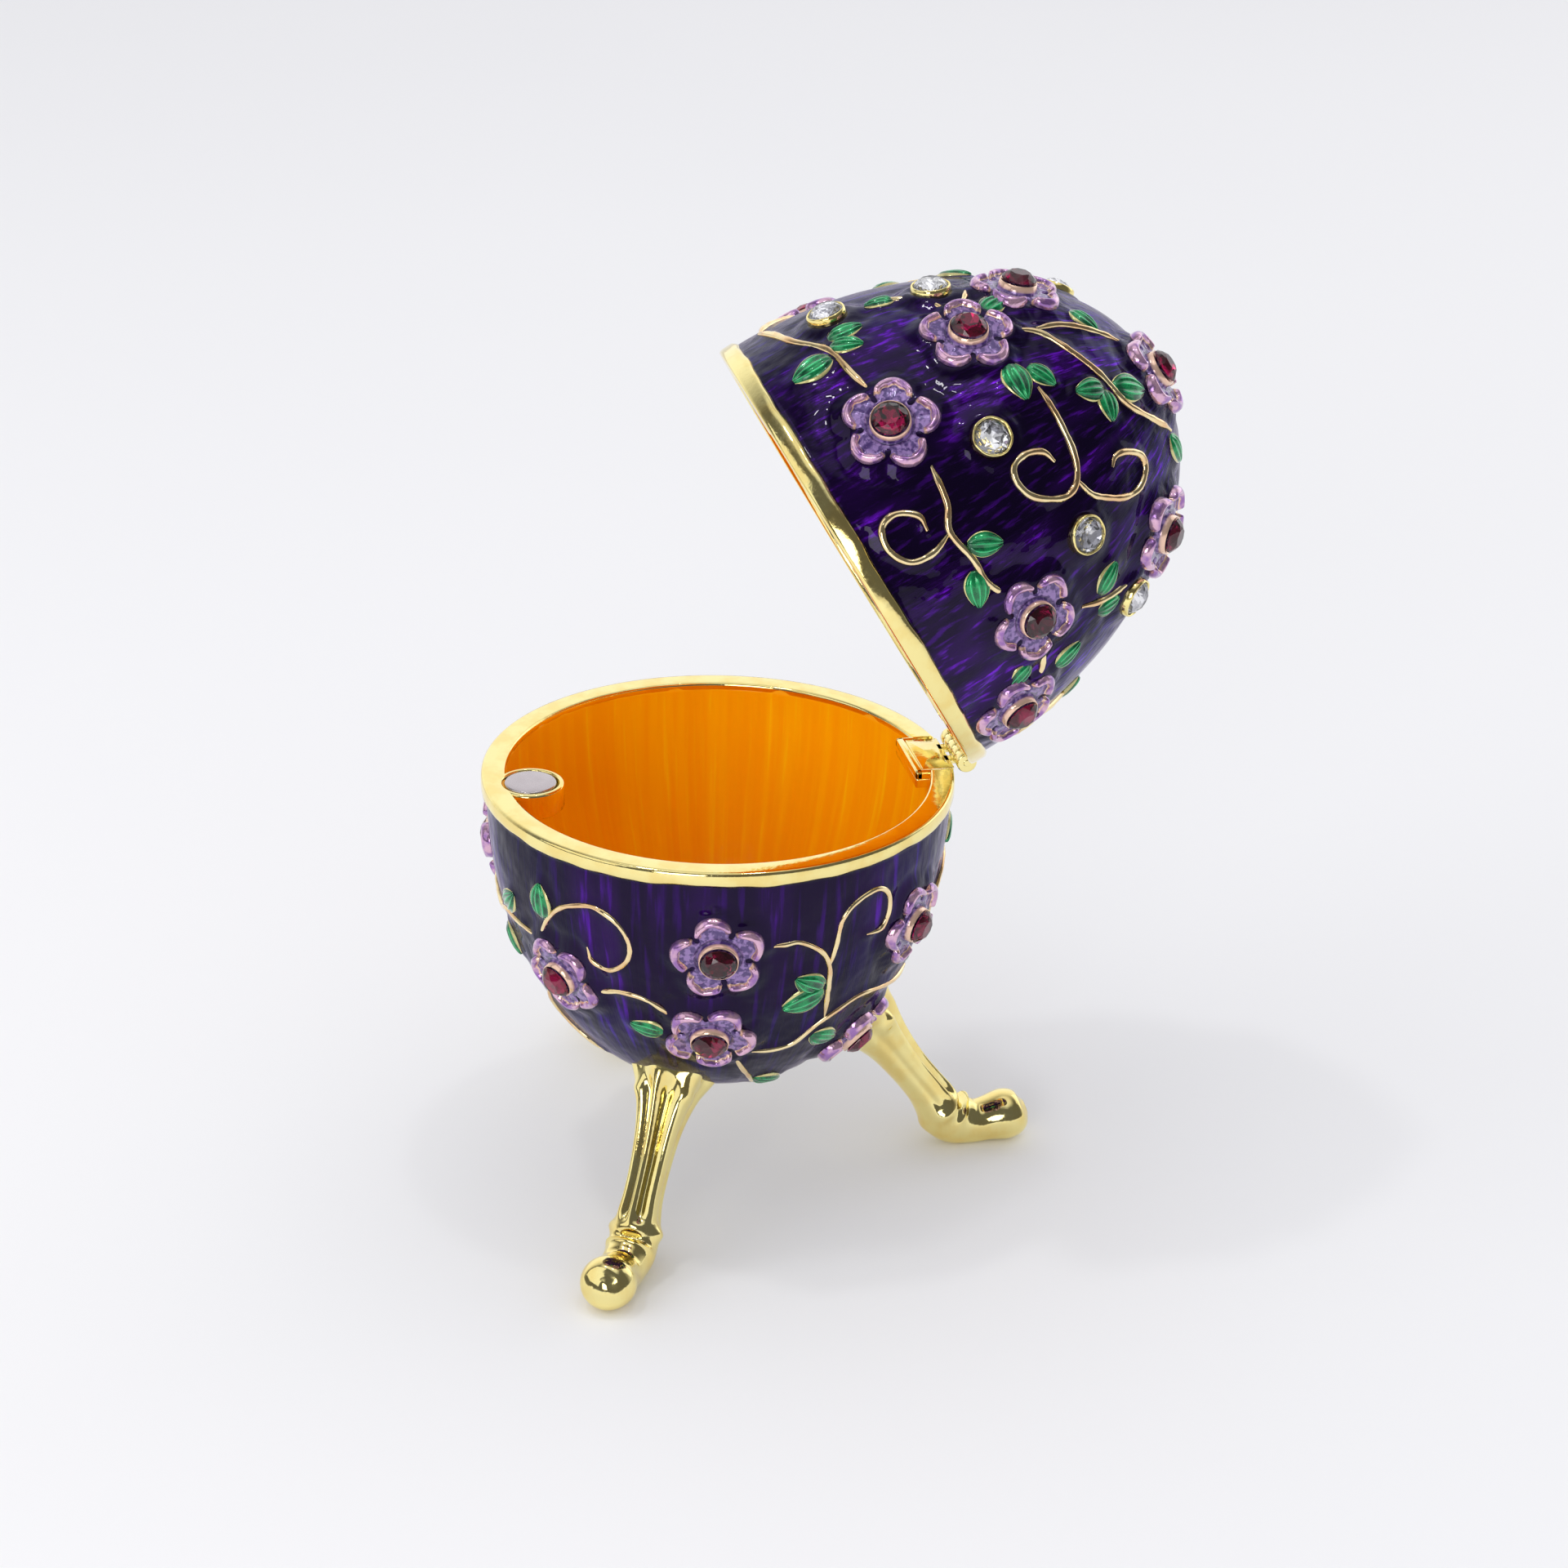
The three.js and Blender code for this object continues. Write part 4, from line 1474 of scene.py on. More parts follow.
    def _rim(self) -> bpy.types.Object:
        """The gold rim ring, widened round the magnet and sunk at the hinge.

        Returns:
            The finished mesh, not yet handed in.
        """
        azimuth = np.linspace(0, 360, self.round_, endpoint=False)
        edge = self._band_edge(azimuth)
        from_magnet = np.radians(azimuth - 270)
        chord = np.clip(Catch.hole**2 - (Catch.reach * np.sin(from_magnet)) ** 2, 0, None)
        hole = np.where((chord > 0) & (np.cos(from_magnet) > 0), Catch.reach * np.cos(from_magnet) + np.sqrt(chord), 0)
        inside = np.maximum(LAND_INSIDE, hole)
        mid = (inside + RIM_RADIUS) / 2
        outer = np.full_like(azimuth, RIM_RADIUS)
        level = np.zeros_like(azimuth)
        section = [
            (outer - 0.35, edge + 0.3),
            (outer - 0.10, edge + 0.05),
            (outer + 0.02, edge - 0.15),
            (outer + 0.02, edge - 0.6),
            (outer, level + 0.45),
            (outer - 0.06, level + 0.18),
            (outer - 0.22, level + 0.03),
            (outer - 0.5, level),
            (mid, level - 0.01),
            (inside + 0.35, level),
            (inside + 0.12, level + 0.05),
            (inside, level + 0.2),
            (inside, level + 0.8),
            (inside + 0.3, level + 1.1),
            (outer - 1.0, edge + 0.3),
        ]
        rings = np.array([self._ring(azimuth, r, h) for r, h in section])
        beside = (np.abs(rings[..., 0]) < HingeWork.recess_half) & (rings[..., 1] > 0)
        level_now = self.form.up * (rings[..., 2] - self.form.rim)
        sunk = np.where(beside, np.maximum(level_now, HingeWork.recess_depth), level_now)
        rings[..., 2] = self.form.rim + self.form.up * sunk
        stock = Stock()
        stock.add_rings(rings, caps=False)
        return stock.mesh(self.name + "_rim", self.shop.egg.to_row[self.form.body])

    def _lining(self) -> bpy.types.Object:
        """The amber lining: a thin closed shell inside the wall.

        Returns:
            The finished mesh, not yet handed in.
        """
        azimuth = np.linspace(0, 360, self.lining_round, endpoint=False)
        inner = replace_form(self.form, radius=LAND_INSIDE, height=self.form.height - self.wall)
        latitude = np.linspace(0, 89.2, 60)
        radius, height = inner.meridian(latitude)
        back_r, back_h = inner.meridian(latitude, self.lining_wall)
        if self.floor_depth is not None:
            soft = self.floor_softness
            height = self.floor_depth - np.logaddexp(0, (self.floor_depth - height) * soft) / soft
            height = np.minimum(height, self.floor_depth)
        lead_r, lead_h = np.array([LAND_INSIDE + 0.05, LAND_INSIDE]), np.array([0.35, 1.1])
        radii = np.concatenate([lead_r, radius, back_r[::-1], [LAND_INSIDE + 0.85]])
        heights = np.concatenate([lead_h, height, back_h[::-1], [0.35]])
        front = len(lead_r) + len(radius)
        az, r = np.meshgrid(azimuth, radii)
        _, h = np.meshgrid(azimuth, heights)
        uneven = 0.05 * ripple(np.radians(az), [(11, 0.5, 0.2), (23, 0.35, 1.1), (37, 0.3, 2.0)])
        rings = self._ring(az, r + uneven * (r > 3), h)
        run = np.repeat(heights[:, None], len(azimuth), 1)
        brush = self._brush(az, run)
        pool = np.zeros_like(az)
        # Painted shade: the two top rows, just under the gold land, are half shaded.
        pool[:2] = 0.5
        tilted = np.roll(np.arange(len(radii)), -front)
        stock = Stock()
        stock.add_rings(rings[tilted], pool=pool[tilted][..., None], brush=brush[tilted])
        return stock.mesh(self.name + "_lining", self.shop.egg.to_row[self.form.body])

    def _lugs(self) -> bpy.types.Object:
        """The round lug round the magnet and the square lug under the hinge leaf.

        Returns:
            The finished mesh, not yet handed in.
        """
        stock = Stock()
        Catch().add_lug(stock, self.form)
        HingeWork.add_lug(stock, self.form)
        return stock.mesh(self.name + "_lugs", self.shop.egg.to_row[self.form.body])


def replace_form(form: HalfForm, **sizes: float) -> HalfForm:
    """A copy of a form with other sizes."""
    values = {**form.__dict__, **sizes}
    return HalfForm(**values)


# ---- catch and hinge ----
@dataclass
class Catch:
    """The magnetic catch: a magnet let into a round lug in each half."""

    reach: ClassVar[float] = 22.0
    hole: ClassVar[float] = 3.4
    sides: int = 64
    lug_radius: float = 3.9
    lug_depth: float = 3.2
    magnet_radius: float = 3.0
    thick: float = 1.5

    def _turned(self, section: Sequence[tuple[float, float]], form: HalfForm) -> np.ndarray:
        """Rings round the magnet's own axis, from radii and depths.

        Args:
            section: Radius and depth below the rim, all along the section.
            form: The half.

        Returns:
            The rings.
        """
        angle = np.linspace(0, 2 * math.pi, self.sides, endpoint=False)
        rings = []
        for radius, depth in section:
            z = np.full(self.sides, form.rim + form.up * depth)
            rings.append(np.stack([radius * np.cos(angle), radius * np.sin(angle) - self.reach, z], -1))
        return np.array(rings)

    def add_lug(self, stock: Stock, form: HalfForm) -> None:
        """Adds the lug, with its pocket, to a stock.

        Args:
            stock: The stock to add to.
            form: The half.
        """
        out, hole = self.lug_radius, self.hole - 0.12
        section = [(0.5, 1.8), (hole - 0.02, 1.8), (hole, 0.25), (hole + 0.05, 0.08), (hole + 0.15, 0.02)]
        section += [(out - 0.25, 0.02), (out - 0.08, 0.09), (out, 0.3), (out, self.lug_depth - 0.3)]
        section += [(out - 0.3, self.lug_depth), (0.5, self.lug_depth)]
        stock.add_rings(self._turned(section, form))

    def magnet(self, name: str, form: HalfForm, to_row: Matrix) -> bpy.types.Object:
        """The magnet, with a small bevel.

        Args:
            name: The piece's name.
            form: The half.
            to_row: Moves its points to the row frame.

        Returns:
            The finished mesh, not yet handed in.
        """
        r, t = self.magnet_radius, self.thick
        section = [(0.4, 0.0), (1.5, 0.0), (r - 0.2, 0.0), (r - 0.06, 0.04), (r, 0.18)]
        section += [(r, t - 0.15), (r - 0.15, t), (0.4, t)]
        stock = Stock()
        stock.add_rings(self._turned(section, form))
        return stock.mesh(name, to_row)

    def build(self, shop: Workshop) -> None:
        """Builds and hands in both magnets.

        Args:
            shop: The workshop that hands the pieces in.
        """
        for form, name in ((BOWL_FORM, "magnet_bowl"), (LID_FORM, "magnet_lid")):
            piece = self.magnet(name + "_disc", form, shop.egg.to_row[form.body])
            shop.hand_in(piece, form.body, Slot.MAGNET, [MAGNET], [name])


@dataclass
class HingeWork:
    """The hinge: two leaves let into the halves, five knuckles and a pin."""

    recess_half: ClassVar[float] = 4.2
    recess_depth: ClassVar[float] = 0.85
    lug_half: ClassVar[float] = 4.95
    lug_inner: ClassVar[float] = 22.5
    lug_bevel: ClassVar[float] = 0.3
    leaf_half: float = 4.12
    leaf_inner: float = 23.45
    leaf_outer: float = 27.3
    leaf_top: float = 0.05
    leaf_thick: float = 0.5
    knuckles: int = 5
    knuckle: float = 1.5
    clearance: float = 0.1
    slack: float = 0.02  # how much narrower a leaf's tongue is than its knuckle, on each side
    radius: float = 1.2
    pin: float = 0.5
    pin_half: float = 4.0

    @staticmethod
    def add_lug(stock: Stock, form: HalfForm) -> None:
        """Adds the square lug, with its recess, to a stock.

        Args:
            stock: The stock to add to.
            form: The half.
        """

        def block(x0: float, x1: float, y0: float, y1: float, near: float, far: float) -> None:
            """A block between two depths."""
            z = sorted((form.rim + form.up * near, form.rim + form.up * far))
            stock.add_block((x0, y0, z[0]), (x1, y1, z[1]), HingeWork.lug_bevel)

        half, back = HingeWork.lug_half, HingeWork.lug_inner
        block(-half, half, back, 26.0, HingeWork.recess_depth, 2.2)
        block(-half, -4.15, back, 25.6, 0.02, 1.2)
        block(4.15, half, back, 25.6, 0.02, 1.2)
        block(-half, half, back, 23.5, 0.02, 1.2)

    def _bar(self, stock: Stock, x0: float, x1: float, radius: float, round_off: float) -> None:
        """Adds a bar on the hinge axis, with rounded ends.

        Args:
            stock: The stock to add to.
            x0: One end.
            x1: The other end.
            radius: Its radius.
            round_off: How much narrower its ends are, as a share.
        """
        angle = np.linspace(0, 2 * math.pi, 36, endpoint=False)
        section = [(x0, 0.55), (x0, 1 - round_off), (x0 + 0.06, 1 - round_off * 0.3), (x0 + 0.16, 1.0)]
        section += [(x0 + x1 - x, share) for x, share in reversed(section)]
        rings = []
        for x, share in section:
            y = HINGE_Y + radius * share * np.cos(angle)
            z = HINGE_Z + radius * share * np.sin(angle)
            rings.append(np.stack([np.full_like(angle, x), y, z], -1))
        stock.add_rings(np.array(rings))

    def leaf(self, name: str, form: HalfForm, first: int, to_row: Matrix) -> bpy.types.Object:
        """A leaf with its share of the knuckles.

        Args:
            name: The piece's name.
            form: The half.
            first: The first of its knuckles; it has every other one from there.
            to_row: Moves its points to the row frame.

        Returns:
            The finished mesh, not yet handed in.
        """
        stock = Stock()
        depths = sorted(form.rim + form.up * d for d in (self.leaf_top, self.leaf_top + self.leaf_thick))
        stock.add_block(
            (-self.leaf_half, self.leaf_inner, depths[0]), (self.leaf_half, self.leaf_outer, depths[1]), 0.1
        )
        length = self.knuckles * self.knuckle + (self.knuckles - 1) * self.clearance
        for i in range(first, self.knuckles, 2):
            x0 = -length / 2 + i * (self.knuckle + self.clearance)
            self._bar(stock, x0, x0 + self.knuckle, self.radius, 0.12)
            near, far = x0 + self.slack, x0 + self.knuckle - self.slack
            stock.add_block((near, self.leaf_outer - 0.6, depths[0]), (far, HINGE_Y, depths[1]), 0.08)
        return stock.mesh(name, to_row)

    def build(self, shop: Workshop) -> None:
        """Builds and hands in the leaves and the pin.

        Args:
            shop: The workshop that hands the pieces in.
        """
        for form, node, first in ((BOWL_FORM, "hinge_leaf_bowl", 1), (LID_FORM, "hinge_leaf_lid", 0)):
            piece = self.leaf(node + "_plate", form, first, shop.egg.to_row[form.body])
            shop.hand_in(piece, form.body, Slot.GOLD, [GOLD], [node])
        stock = Stock()
        self._bar(stock, -self.pin_half, self.pin_half, self.pin, 0.3)
        pin = stock.mesh("hinge_pin_wire", shop.egg.to_row[Body.BASE])
        shop.hand_in(pin, Body.BASE, Slot.GOLD, [GOLD], ["hinge_pin"])


# ---- legs ----
@dataclass
class Legs:
    """Three cast cabriole legs, each with two channels down its front, a pocketed ankle and a rolled toe."""

    # azimuth, and how far a leg is set in from the others' distance
    places: tuple[tuple[str, float, float], ...] = (("leg_back", 90, 0), ("leg_right", -32, 3.5), ("leg_left", 190, 0))
    round_: int = 96
    steps: int = 11
    sunk: float = 0.7  # how deep a leg's top goes into the bowl's wall
    # distance from the axis, height, half width and half thickness down the leg
    stations: tuple[tuple[float, float, float, float], ...] = (
        (13.6, -29.2, 5.3, 5.6),
        (16.6, -32.6, 4.8, 5.0),
        (19.0, -35.3, 3.7, 3.9),
        (21.4, -38.3, 2.8, 2.9),
        (23.9, -41.7, 2.4, 2.45),
        (26.5, -45.2, 2.35, 2.45),
        (28.4, -48.0, 2.75, 2.85),
        (30.2, -50.1, 2.9, 3.2),
        (32.6, -50.8, 2.75, 2.85),
        (35.0, -50.6, 2.95, 2.85),
        (37.2, -50.3, 3.3, 3.1),
        (38.9, -49.9, 2.6, 2.5),
        (39.75, -49.6, 0.8, 0.9),
    )

    def build(self, shop: Workshop) -> None:
        """Builds and hands in the three legs.

        Args:
            shop: The workshop that hands the pieces in.
        """
        for node, azimuth, set_in in self.places:
            piece = self._leg(node + "_casting", azimuth, set_in, shop.egg.to_row[Body.BASE])
            shop.hand_in(piece, Body.BASE, Slot.GOLD, [GOLD], [node])

    def _relief(self, t: np.ndarray, turn: np.ndarray) -> np.ndarray:
        """The casting's relief, as a share of the leg's thickness.

        Args:
            t: How far down the leg, from 0 at the bowl to 1 at the toe.
            turn: Degrees round the section, 0 at the front, from -180 to 180.

        Returns:
            How much the section grows at each point.
        """
        shank = smooth(t, 0.17, 0.24) * (1 - smooth(t, 0.60, 0.66))
        left = hump(turn + 24, 9) * shank
        right = hump(turn - 20, 14) * shank
        ribs = 0.10 * (hump(turn + 4, 9) + hump(turn - 48, 12) + hump(turn + 46, 11)) * shank
        sides = 0.10 * (hump(turn - 88, 12) + hump(turn + 88, 12)) * shank
        flare = 0.14 * (1 - smooth(t, 0.10, 0.26)) * np.cos(np.radians(turn) * 6 + 0.6)
        curl = 0.09 * hump(t - 0.235, 0.022) * (hump(turn - 62, 20) + hump(turn + 62, 20))
        pocket = 0.34 * hump(t - 0.695, 0.022) * hump(turn - 6, 40)
        ridge = 0.16 * hump(t - 0.735, 0.020) * hump(turn, 70)
        spur = 0.20 * hump(t - 0.665, 0.022) * (hump(turn - 88, 24) + hump(turn + 88, 24))
        heel = 0.14 * hump(t - 0.68, 0.03) * hump(np.abs(turn) - 180, 40)
        neck = 0.12 * hump(t - 0.84, 0.03) * hump(turn + 15, 80)
        return ribs + flare + curl + ridge + spur + heel - 0.26 * left - 0.30 * right - sides - pocket - neck

    def _leg(self, name: str, azimuth: float, set_in: float, to_row: Matrix) -> bpy.types.Object:
        """One leg, turned to its azimuth, sunk into the bowl and flat underfoot.

        Args:
            name: The piece's name.
            azimuth: Its azimuth in degrees.
            set_in: How far it is set in.
            to_row: Moves its points to the row frame.

        Returns:
            The finished mesh, not yet handed in.
        """
        line = through(np.array(self.stations), self.steps)
        tangent = np.gradient(line[:, :2], axis=0)
        tangent /= np.linalg.norm(tangent, axis=1, keepdims=True)
        front = np.stack([-tangent[:, 1], tangent[:, 0]], -1)
        run = np.concatenate([[0], np.cumsum(np.linalg.norm(np.diff(line[:, :2], axis=0), axis=1))])
        t = (run / run[-1])[:, None]
        degrees = np.linspace(-180, 180, self.round_, endpoint=False)[None, :]
        swell = 1 + self._relief(t, degrees)
        angle = np.radians(degrees)
        ahead = line[:, 3:4] * swell * np.cos(angle)
        side = line[:, 2:3] * swell * np.sin(angle)
        out = line[:, 0:1] - set_in + ahead * front[:, 0:1]
        z = line[:, 1:2] + ahead * front[:, 1:2]
        turn = math.radians(azimuth)
        x = out * math.cos(turn) - side * math.sin(turn)
        y = out * math.sin(turn) + side * math.cos(turn)
        rings = np.stack([x, y, np.maximum(z, GROUND)], -1)
        inside = BOWL_FORM.fullness(rings, -self.sunk) < 1
        rings = np.where(inside[..., None], BOWL_FORM.onto(rings, -self.sunk), rings)
        stock = Stock()
        stock.add_rings(rings)
        return stock.mesh(name, to_row)


# ---- studio ----
@dataclass(frozen=True)
class Lamp:
    """A square lamp that faces the rim's middle, with its offset from there and its size in metres."""

    name: str
    offset: tuple[float, float, float]
    size: float
    power: float


LAMPS = (
    Lamp("overhead_lamp", (-0.02, -0.26, 0.86), 0.055, 0.5),
    Lamp("second_lamp", (0.07, 0.13, 0.89), 0.055, 0.35),
    Lamp("left_box", (0.15, -0.75, 0.45), 0.7, 1.3),
    Lamp("right_box", (-0.35, 0.75, 0.35), 0.6, 0.6),
    Lamp("front_box", (0.75, -0.40, 0.25), 0.35, 1.4),
)


@dataclass
class Studio:
    """A pale floor, soft light and the camera."""

    surround: float = 0.86  # how bright the surroundings are, but for what the polished pieces mirror
    behind_camera: float = 0.13  # what they mirror from behind the camera
    beyond_egg: float = 1.15  # and from beyond the egg
    overhead: float = 0.75  # what is added to it straight above
    in_stones: float = 0.45  # and to what is seen through the cut stones
    air: tuple[float, float, float, float] = (0.93, 0.93, 0.96, 1.0)
    distance: float = 0.4
    elevation: float = 24.9
    azimuth: float = 78.2
    aside: float = -1.1  # the view's middle lies this far from the rim's middle, in degrees
    below: float = -0.25
    roll: float = 0.9
    lens: float = 79.0
    floor_size: float = 4.0

    def build(self, egg: EggFrame) -> None:
        """Makes the camera, the lights, the floor and the surroundings.

        Args:
            egg: The egg's place in the row frame.
        """
        self._camera(egg)
        self._floor()
        self._world()
        self._lights(egg)
        bpy.context.scene.view_settings.view_transform = "Standard"

    def _camera(self, egg: EggFrame) -> None:
        """The camera, looking down at the open box.

        Args:
            egg: The egg's place in the row frame.
        """
        camera = bpy.data.objects.new("studio_camera", bpy.data.cameras.new("studio_camera"))
        bpy.context.scene.collection.objects.link(camera)
        bpy.context.scene.camera = camera
        camera.data.lens = self.lens
        camera.data.clip_start, camera.data.clip_end = 0.01, 20.0
        a, e = math.radians(self.azimuth), math.radians(self.elevation)
        back = Vector((math.sin(a) * math.cos(e), -math.cos(a) * math.cos(e), math.sin(e)))
        aim = (-back).to_track_quat("-Z", "Y").to_matrix().to_4x4()
        turn = Matrix.Rotation(math.radians(self.aside), 4, "Y") @ Matrix.Rotation(math.radians(self.below), 4, "X")
        turn = turn @ Matrix.Rotation(math.radians(self.roll), 4, "Z")
        camera.matrix_world = Matrix.Translation(egg.rim_centre + back * self.distance) @ aim @ turn

    def _floor(self) -> None:
        """A plain pale floor."""
        half = self.floor_size
        mesh = bpy.data.meshes.new("studio_floor")
        mesh.from_pydata([(-half, -half, 0), (half, -half, 0), (half, half, 0), (-half, half, 0)], [], [(0, 1, 2, 3)])
        floor = bpy.data.objects.new("studio_floor", mesh)
        bpy.context.scene.collection.objects.link(floor)
        made = bpy.data.materials.new("studio_paper")
        made.use_nodes = True
        w = Wiring(made.node_tree)
        surface = made.node_tree.nodes["Principled BSDF"]
        place = w.add("ShaderNodeTexCoord").outputs["Object"]
        shade = w.blend(w.noise(place, 3.0), (0.89, 0.89, 0.90), (0.92, 0.92, 0.925))
        w.tree.links.new(shade, surface.inputs["Base Color"])
        surface.inputs["Roughness"].default_value = 0.8
        surface.inputs["Specular IOR Level"].default_value = 0.2
        mesh.materials.append(made)

    def _world(self) -> None:
        """Pale all round, but dim to what the polished pieces mirror."""
        world = bpy.data.worlds.new("studio_surroundings")
        bpy.context.scene.world = world
        world.use_nodes = True
        w = Wiring(world.node_tree)
        world.node_tree.nodes.clear()
        direction = w.add("ShaderNodeTexCoord").outputs["Generated"]
        away = w.add("ShaderNodeVectorMath", {0: direction}, operation="DOT_PRODUCT")
        a = math.radians(self.azimuth)
        away.inputs[1].default_value = (-math.sin(a), math.cos(a), -0.35)
        up = w.add("ShaderNodeSeparateXYZ", {0: direction}).outputs[2]
        backdrop = w.step(away.outputs["Value"], -0.15, 0.75, self.behind_camera, self.beyond_egg)
        backdrop = w.sum("ADD", backdrop, w.step(up, 0.80, 0.96, 0.0, self.overhead))
        path = w.add("ShaderNodeLightPath")
        through_stones = w.sum("MULTIPLY", path.outputs["Is Transmission Ray"], self.in_stones)
        backdrop = w.sum("ADD", backdrop, through_stones)
        pale = w.add("ShaderNodeBackground", {"Color": self.air, "Strength": self.surround})
        dim = w.add("ShaderNodeBackground", {"Color": self.air, "Strength": backdrop})
        mixed = w.add("ShaderNodeMixShader", {0: path.outputs["Is Glossy Ray"], 1: pale.outputs[0], 2: dim.outputs[0]})
        w.add("ShaderNodeOutputWorld", {0: mixed.outputs[0]})

    def _lights(self, egg: EggFrame) -> None:
        """Two small lamps overhead, and soft boxes at the camera's left, behind to the right and in front.

        Args:
            egg: The egg's place in the row frame.
        """
        middle = egg.rim_centre
        for lamp in LAMPS:
            data = bpy.data.lights.new(lamp.name, "AREA")
            data.energy, data.size = lamp.power, lamp.size
            light = bpy.data.objects.new(lamp.name, data)
            light.location = middle + Vector(lamp.offset)
            light.rotation_euler = (-Vector(lamp.offset)).to_track_quat("-Z", "Y").to_euler()
            bpy.context.scene.collection.objects.link(light)


# ---- what is set where ----
BOWL_FLOWERS = [
    Place(349, 14, 43), Place(347, 35, 10), Place(304, 26, 25), Place(47, 17, 35), Place(47, 48, 20),
    Place(100, 20, 5), Place(145, 32, 30), Place(181, 17, 50), Place(222, 32, 12), Place(246, 15, 60),
]
LID_FLOWERS = [
    Place(313, 14, 2), Place(297, 34, 20), Place(275, 49, 40), Place(13, 18, 45), Place(38, 49, 27),
    Place(337, 76, 10), Place(37, 8, 30), Place(92, 34, 5), Place(138, 15, 25), Place(158, 47, 50),
    Place(190, 21, 0), Place(227, 13, 35),
]
LID_CRYSTALS = [
    Place(328, 27), Place(4, 33, 10), Place(273, 33, 30), Place(271, 15, 5), Place(40, 36, 20),
    Place(122, 38, 15), Place(165, 27, 40), Place(206, 38, 12), Place(232, 60, 25),
]
LID_LEAVES = [
    Place(289, 8, -80, 1.1), Place(281, 16, 90, 0.95), Place(286, 15, 60, 0.95), Place(272, 24, -96, 0.85),
    Place(286, 42, 120, 0.9), Place(317, 37, -5, 1.15), Place(318, 42, 30, 0.85), Place(295, 60, 30, 0.85),
    Place(329, 50, -107, 1.0), Place(337, 52, -20, 0.8), Place(336, 60, 62, 1.15), Place(24, 65, -10, 0.9),
    Place(349, 17, 60, 0.9), Place(357, 12, -23, 1.0), Place(22, 33, 112, 0.9), Place(31, 31, 65, 0.8),
    Place(33, 20, 95, 0.85), Place(26, 11, -76, 0.85),
    Place(70, 18, 120, 0.95), Place(78, 48, 40, 1.0), Place(110, 22, -30, 0.95), Place(124, 54, 70, 0.95),
    Place(150, 30, 150, 1.0), Place(178, 58, 30, 0.95), Place(178, 36, 100, 0.95), Place(208, 24, -60, 1.0),
    Place(214, 50, 10, 0.95), Place(236, 28, 130, 0.95), Place(166, 10, 20, 0.9), Place(248, 40, 60, 0.9),
]
BOWL_LEAVES = [
    Place(285, 15, -45, 0.9), Place(301, 10, -90, 1.05), Place(329, 34, -167, 1.0), Place(13, 22, -150, 1.05),
    Place(12, 26, 162, 1.1), Place(24, 40, 24, 1.05), Place(12, 58, 22, 0.95), Place(276, 27, 60, 0.95),
    Place(76, 36, 60, 0.95), Place(82, 9, 150, 1.0), Place(122, 38, -40, 1.0), Place(128, 14, 30, 0.95),
    Place(164, 40, 60, 0.95), Place(166, 26, -120, 1.0), Place(200, 34, 20, 1.0), Place(206, 14, 100, 0.95),
    Place(228, 17, -20, 0.95), Place(250, 36, 45, 0.95),
]
LID_VINES = [
    [(257, 4), (266, 6), (275, 8), (285, 12), (295, 13), (302, 14)],
    [(326, 16), (336, 15), (342, 13), (351, 14), (357, 14), (4, 16)],
    [(342, 13), (344, 9), (343, 5), (338, 3), (333, 4), (332, 7), (335, 10), (339, 10)],
    [(321, 40), (334, 40), (344, 39), (350, 37), (352, 34), (350, 31), (346, 28), (341, 27), (337, 28),
     (336, 31), (338, 34), (342, 35)],
    [(350, 37), (356, 38), (0, 40), (6, 44), (9, 48), (7, 52), (1, 53), (355, 50), (353, 47), (355, 45)],
    [(299, 43), (302, 47), (312, 51), (327, 55), (341, 57), (355, 62), (14, 67)],
    [(300, 47), (299, 53), (302, 60), (308, 67)],
    [(271, 24), (275, 29), (281, 32), (286, 33)],
    [(274, 39), (279, 38), (284, 36)],
    [(22, 26), (28, 31), (32, 36), (35, 40)],
    [(24, 17), (29, 15), (33, 13)],
    [(49, 9), (58, 12), (68, 17), (76, 22), (83, 28)],
    [(68, 17), (74, 14), (74, 9), (68, 6), (62, 8), (64, 12)],
    [(101, 30), (112, 26), (123, 20), (131, 17)],
    [(112, 26), (122, 27), (129, 31), (128, 36)],
    [(145, 17), (152, 20), (164, 17), (176, 17), (183, 19)],
    [(164, 17), (166, 12), (162, 7), (156, 7), (154, 11), (158, 13)],
    [(98, 42), (108, 52), (124, 60), (146, 54)],
    [(52, 52), (66, 56), (84, 60), (110, 64), (130, 62)],
    [(84, 60), (84, 53), (76, 50), (70, 53), (74, 57)],
    [(172, 49), (184, 53), (198, 56), (216, 56), (240, 53), (260, 51)],
    [(198, 56), (200, 49), (196, 44), (189, 43), (187, 48), (192, 50)],
    [(198, 25), (205, 30), (214, 32), (221, 27), (225, 21)],
    [(214, 32), (220, 37), (229, 40), (237, 37), (237, 32), (231, 31)],
    [(236, 12), (243, 9), (250, 6), (257, 4)],
]
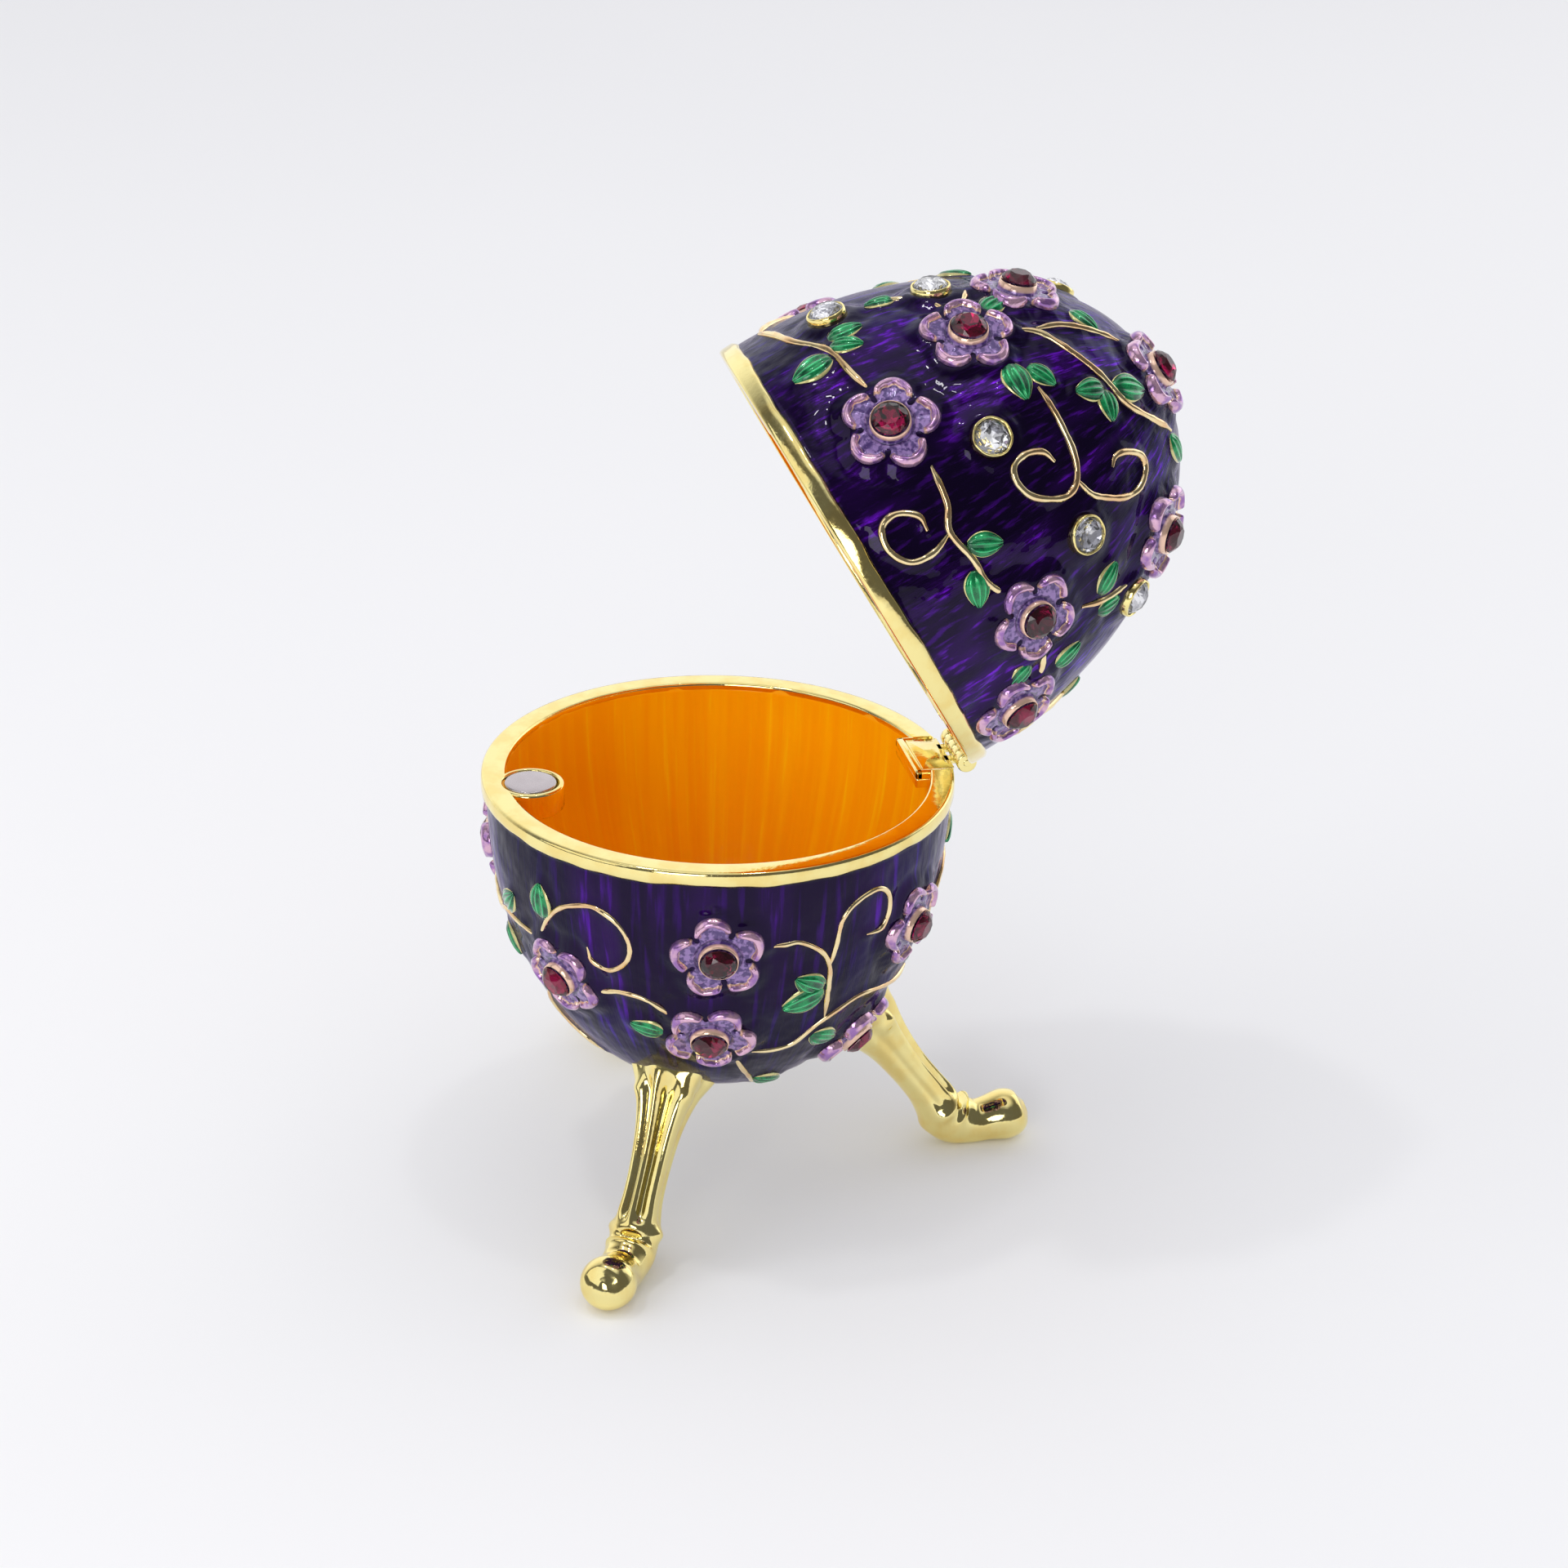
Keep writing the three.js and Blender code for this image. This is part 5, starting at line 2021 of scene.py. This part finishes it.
BOWL_VINES = [
    [(257, 18), (264, 20), (272, 21), (280, 19), (292, 19), (298, 19)],
    [(298, 19), (302, 14), (307, 10), (312, 8), (318, 7), (324, 9), (327, 13), (326, 17), (321, 20), (316, 19),
     (315, 16)],
    [(314, 27), (323, 25), (331, 26), (338, 30)],
    [(0, 12), (5, 12), (9, 12), (15, 15), (18, 19), (19, 24), (20, 29), (21, 33)],
    [(18, 19), (19, 14), (20, 9), (24, 6), (30, 5), (34, 7), (35, 11), (33, 14), (28, 14)],
    [(0, 41), (7, 41), (13, 40), (19, 35), (25, 32), (32, 30), (41, 31), (52, 33), (62, 33)],
    [(355, 43), (358, 48), (3, 55), (8, 62)],
    [(291, 34), (286, 40), (286, 46), (291, 51), (300, 53)],
    [(62, 33), (70, 38), (82, 42), (91, 37), (96, 31)],
    [(82, 42), (86, 50), (80, 57), (72, 56), (70, 50), (76, 49)],
    [(59, 18), (66, 16), (74, 13), (82, 13), (90, 16)],
    [(74, 13), (76, 18), (73, 23), (67, 24), (65, 20)],
    [(112, 21), (120, 24), (131, 24), (138, 27)],
    [(120, 24), (125, 18), (124, 11), (117, 8), (111, 9), (113, 13)],
    [(152, 30), (158, 33), (168, 32), (174, 25)],
    [(168, 32), (174, 38), (172, 45), (164, 47), (160, 42), (165, 40)],
    [(188, 18), (197, 20), (206, 24), (214, 30)],
    [(197, 20), (202, 13), (200, 7), (193, 6), (190, 10), (194, 12)],
    [(230, 33), (236, 33), (242, 30), (245, 25)],
    [(236, 33), (244, 39), (254, 40), (260, 35), (256, 31), (250, 33)],
    [(150, 38), (160, 52), (185, 58), (210, 50), (218, 40)],
]


def main() -> None:
    """Builds the whole object and the studio, and reports each piece."""
    logging.basicConfig(level=logging.INFO, format="%(name)s: %(message)s")
    egg = EggFrame(frame["joints"][0])
    Studio().build(egg)
    shop = Workshop(egg)
    patterns = {
        "flower": FlowerPattern().make("flower_pattern"),
        "leaf": LeafPattern().make("leaf_pattern"),
        "stone": StonePattern().make("stone_pattern"),
        "bezel": BezelPattern().make("bezel_pattern"),
    }
    Half(
        shop, BOWL_FORM, "bowl", BOWL_FLOWERS, BOWL_LEAVES, BOWL_VINES,
        enamel=UPRIGHT_VIOLET, floor_depth=BOWL_FLOOR, girth=BOWL_VINE_GIRTH,
    ).build(patterns)
    Half(shop, LID_FORM, "lid", LID_FLOWERS, LID_LEAVES, LID_VINES, LID_CRYSTALS).build(patterns)
    Legs().build(shop)
    Catch().build(shop)
    HingeWork().build(shop)
    for pattern in patterns.values():
        bpy.data.objects.remove(pattern)


if __name__ == "__main__":
    main()
